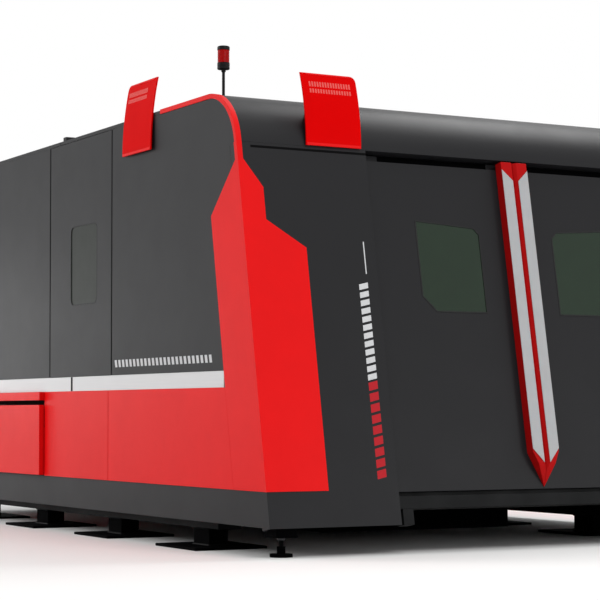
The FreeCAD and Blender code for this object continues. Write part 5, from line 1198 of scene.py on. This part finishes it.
class MACHINE_OT_add_slot_brush(bpy.types.Operator):
    """Adds the black brush strip behind the drawers' finger slot, its black partly painted shade of
    the slot, and the hood's lip over it
    """

    bl_idname = "machine.add_slot_brush"
    bl_label = "Slot brush"

    # The strip behind the hood's face, its half depth and heights, and the tufts' gap to a drawer.
    BEHIND, BACK, LOW, HIGH, TIP_GAP = 26 * MM, 4 * MM, -3 * MM, 4 * MM, 6 * MM
    # The tufts: their count, half their length as a share of the pitch, half depth and root.
    TUFTS, FILL, BRISTLE, TUFT_ROOT = 120, 0.46, 1.2 * MM, -2 * MM
    LIP_DROP, LIP_ROOT, LIP_SHEET = 13 * MM, 1 * MM, 2 * MM

    def execute(self, context):
        low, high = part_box("drawer_hood")
        x, start, end = low.x + self.BEHIND, low.y + self.BACK, high.y - self.BACK
        root, tip = low.z + self.TUFT_ROOT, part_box("drawer_1")[1].z + self.TIP_GAP
        step, half = (end - start) / self.TUFTS, (end - start) / self.TUFTS * self.FILL
        shape = bmesh.new()
        low_corner = (x - self.BACK, start, low.z + self.LOW)
        add_block(shape, low_corner, (x + self.BACK, end, low.z + self.HIGH))
        for i in range(self.TUFTS):
            y = start + step * (i + 0.5)
            # The tufts' tips lean in and out by turns, as worn bristles do.
            lean = Matrix.Translation((self.BRISTLE * ((i * 7) % 5 - 2) / 2, 0, 0))
            corners = oblong(x - self.BRISTLE, x + self.BRISTLE, y - half, y + half)
            tips = add_ring(shape, corners, lean, tip)
            close_rings(shape, tips, add_ring(shape, corners, Matrix.Identity(4), root))
        new_piece("slot_brush", shape, "bristle", "machine")

        bottom, top = low.z - self.LIP_DROP, low.z + self.LIP_ROOT
        front = low.x + self.LIP_SHEET
        shape = bmesh.new()
        add_block(shape, (low.x, low.y, bottom), (front, high.y, top))
        for y in (low.y, high.y - self.LIP_SHEET):
            add_block(shape, (front, y, bottom), (high.x, y + self.LIP_SHEET, top))
        new_piece("hood_lip", shape, "panel_red", "machine", radius=0.6 * MM)
        return {"FINISHED"}


class MACHINE_OT_set_the_stage(bpy.types.Operator):
    """Sets the pale floor, the soft studio light and the camera"""

    bl_idname = "machine.set_the_stage"
    bl_label = "Stage"

    # The camera's place, its way in plan and its tilt up. Its lens and sensor are in millimetres,
    # its shift is a share of the sensor's width, and its reach is how far it sees.
    CAMERA = Vector((-5.637, -10.573, 0.678))
    VIEW = Vector((0.4845, 0.8748))
    PITCH = math.radians(1.95)
    FOCUS, SENSOR, SHIFT, REACH = 117.84, 36.0, 0.077, 200.0
    # The floor's radius and thickness, and where it fades into the white background.
    FLOOR, THICK, FADE = 60.0, 0.02, (7.0, 13.0)
    # Each lamp's name, place, aim, width, height and power.
    LAMPS = (
        ("front_light", (0.2, -11.0, 10.0), (MIDDLE, -2.0, 1.1), 6.0, 6.0, 470),
        ("top_light", (5.0, -0.6, 9.2), (MIDDLE, -1.6, 2.2), 6.4, 3.2, 395),
        ("rear_fill_light", (-11.0, 5.5, 6.0), (WALL_LEFT, 0.0, 1.1), 6.0, 6.0, 540),
        ("far_end_light", (-2.6, 8.6, 1.4), (WALL_LEFT, 2.0, 1.2), 1.6, 1.6, 30),
        ("low_front_light", (6.2, -12.0, 2.4), (MIDDLE, -2.5, 0.8), 3.0, 3.0, 150),
    )

    def execute(self, context):
        scene = context.scene
        self.floor(scene)
        self.world(scene)
        for name, where, aim, width, height, power in self.LAMPS:
            light = bpy.data.lights.new(name, "AREA")
            light.shape = "ELLIPSE"
            light.size, light.size_y, light.energy = width, height, power
            lamp = bpy.data.objects.new(name, light)
            scene.collection.objects.link(lamp)
            lamp.location = where
            lamp.rotation_mode = "QUATERNION"
            lamp.rotation_quaternion = (Vector(aim) - lamp.location).to_track_quat("-Z", "Y")
        self.camera(scene)
        scene.view_settings.view_transform = "Standard"
        return {"FINISHED"}

    def floor(self, scene):
        """A wide pale matt floor that turns into the white background far away."""
        mesh = bpy.data.meshes.new("floor")
        shape = bmesh.new()
        add_prism(shape, polygon(64, self.FLOOR), -self.THICK, 0.0)
        shape.to_mesh(mesh)
        shape.free()
        floor = bpy.data.objects.new("floor", mesh)
        scene.collection.objects.link(floor)
        material, tree, where = new_material("pale_matt_floor")
        cast = add_node(tree, "TexNoise", grain(where, 40, 4.0))
        tone = add_node(tree, "Mix", worn(linear("#F9F9F8"), 0.02, cast), data_type="RGBA")
        sockets = {"Base Color": tone, "Roughness": 0.75, "Specular IOR Level": 0.2}
        matt = add_node(tree, "BsdfPrincipled", sockets)
        spot = add_node(tree, "VectorMath", {0: where}, operation="LENGTH")
        away = add_node(tree, "MapRange", between(spot, 0.0, 1.0, *self.FADE))
        faded = add_node(tree, "Math", {0: away, 1: self.seen_rays(tree)}, operation="MULTIPLY")
        white = add_node(tree, "Emission", {"Color": (1, 1, 1, 1), "Strength": 1.0})
        mixed = add_node(tree, "MixShader", {0: faded, 1: matt, 2: white})
        add_node(tree, "OutputMaterial", {"Surface": mixed})
        mesh.materials.append(material)

    def seen_rays(self, tree):
        """1 for rays from the eye, from gloss and through glass, 0 for soft light."""
        path = add_node(tree, "LightPath")
        total = path.outputs["Is Camera Ray"]
        for kind in ("Is Glossy Ray", "Is Transmission Ray"):
            total = add_node(tree, "Math", {0: total, 1: path.outputs[kind]}, operation="MAXIMUM")
        return total

    def world(self, scene):
        """Soft white light all round, and a white background for what is seen."""
        world = bpy.data.worlds.new("soft_studio")
        world.use_nodes = True
        tree = world.node_tree
        tree.nodes.clear()
        soft = add_node(tree, "Background", {"Color": (1, 1, 1, 1), "Strength": 0.6})
        white = add_node(tree, "Background", {"Color": (1, 1, 1, 1), "Strength": 1.0})
        mixed = add_node(tree, "MixShader", {0: self.seen_rays(tree), 1: soft, 2: white})
        add_node(tree, "OutputWorld", {"Surface": mixed})
        scene.world = world

    def camera(self, scene):
        """The photograph's viewpoint: a level view from the left of the front."""
        data = bpy.data.cameras.new("photo_view")
        data.lens, data.sensor_width = self.FOCUS, self.SENSOR
        data.shift_y, data.clip_end = self.SHIFT, self.REACH
        camera = bpy.data.objects.new("photo_view", data)
        scene.collection.objects.link(camera)
        camera.location = self.CAMERA
        camera.rotation_euler = (math.pi / 2 + self.PITCH, 0, -math.atan2(*self.VIEW))
        scene.camera = camera


SETTINGS = {
    "machine_paint": PaintSettings,
    "machine_edges": EdgeSettings,
    "machine_trim": TrimSettings,
}
# In the order that main calls them: the first makes the finishes that the others use.
OPERATORS = (
    MACHINE_OT_finish_packed_pieces,
    MACHINE_OT_add_side_marks,
    MACHINE_OT_add_column_marks,
    MACHINE_OT_add_flag_marks,
    MACHINE_OT_add_joint_strips,
    MACHINE_OT_add_window_seals,
    MACHINE_OT_add_door_lips,
    MACHINE_OT_add_stack_light,
    MACHINE_OT_add_feet_fittings,
    MACHINE_OT_add_rail_fittings,
    MACHINE_OT_add_head_fittings,
    MACHINE_OT_add_cabinet_fittings,
    MACHINE_OT_add_slot_brush,
    MACHINE_OT_set_the_stage,
)


class MACHINE_PT_looks(bpy.types.Panel):
    """Lists the machine's colours, sizes and pieces."""

    bl_idname = "MACHINE_PT_looks"
    bl_label = "Laser cutting machine"
    bl_space_type = "VIEW_3D"
    bl_region_type = "UI"
    bl_category = "Machine"

    def draw(self, context):
        for name, settings in SETTINGS.items():
            box = self.layout.box()
            for key in settings.__annotations__:
                box.prop(getattr(context.scene, name), key)
        for operator in OPERATORS:
            self.layout.operator(operator.bl_idname)


CLASSES = (*SETTINGS.values(), *OPERATORS, MACHINE_PT_looks)


def register():
    for cls in CLASSES:
        bpy.utils.register_class(cls)
    for name, settings in SETTINGS.items():
        setattr(bpy.types.Scene, name, PointerProperty(type=settings))


def unregister():
    for name in SETTINGS:
        delattr(bpy.types.Scene, name)
    for cls in reversed(CLASSES):
        bpy.utils.unregister_class(cls)


def main():
    register()
    for operator in OPERATORS:
        getattr(bpy.ops.machine, operator.bl_idname.removeprefix("machine."))()


if __name__ == "__main__":
    main()
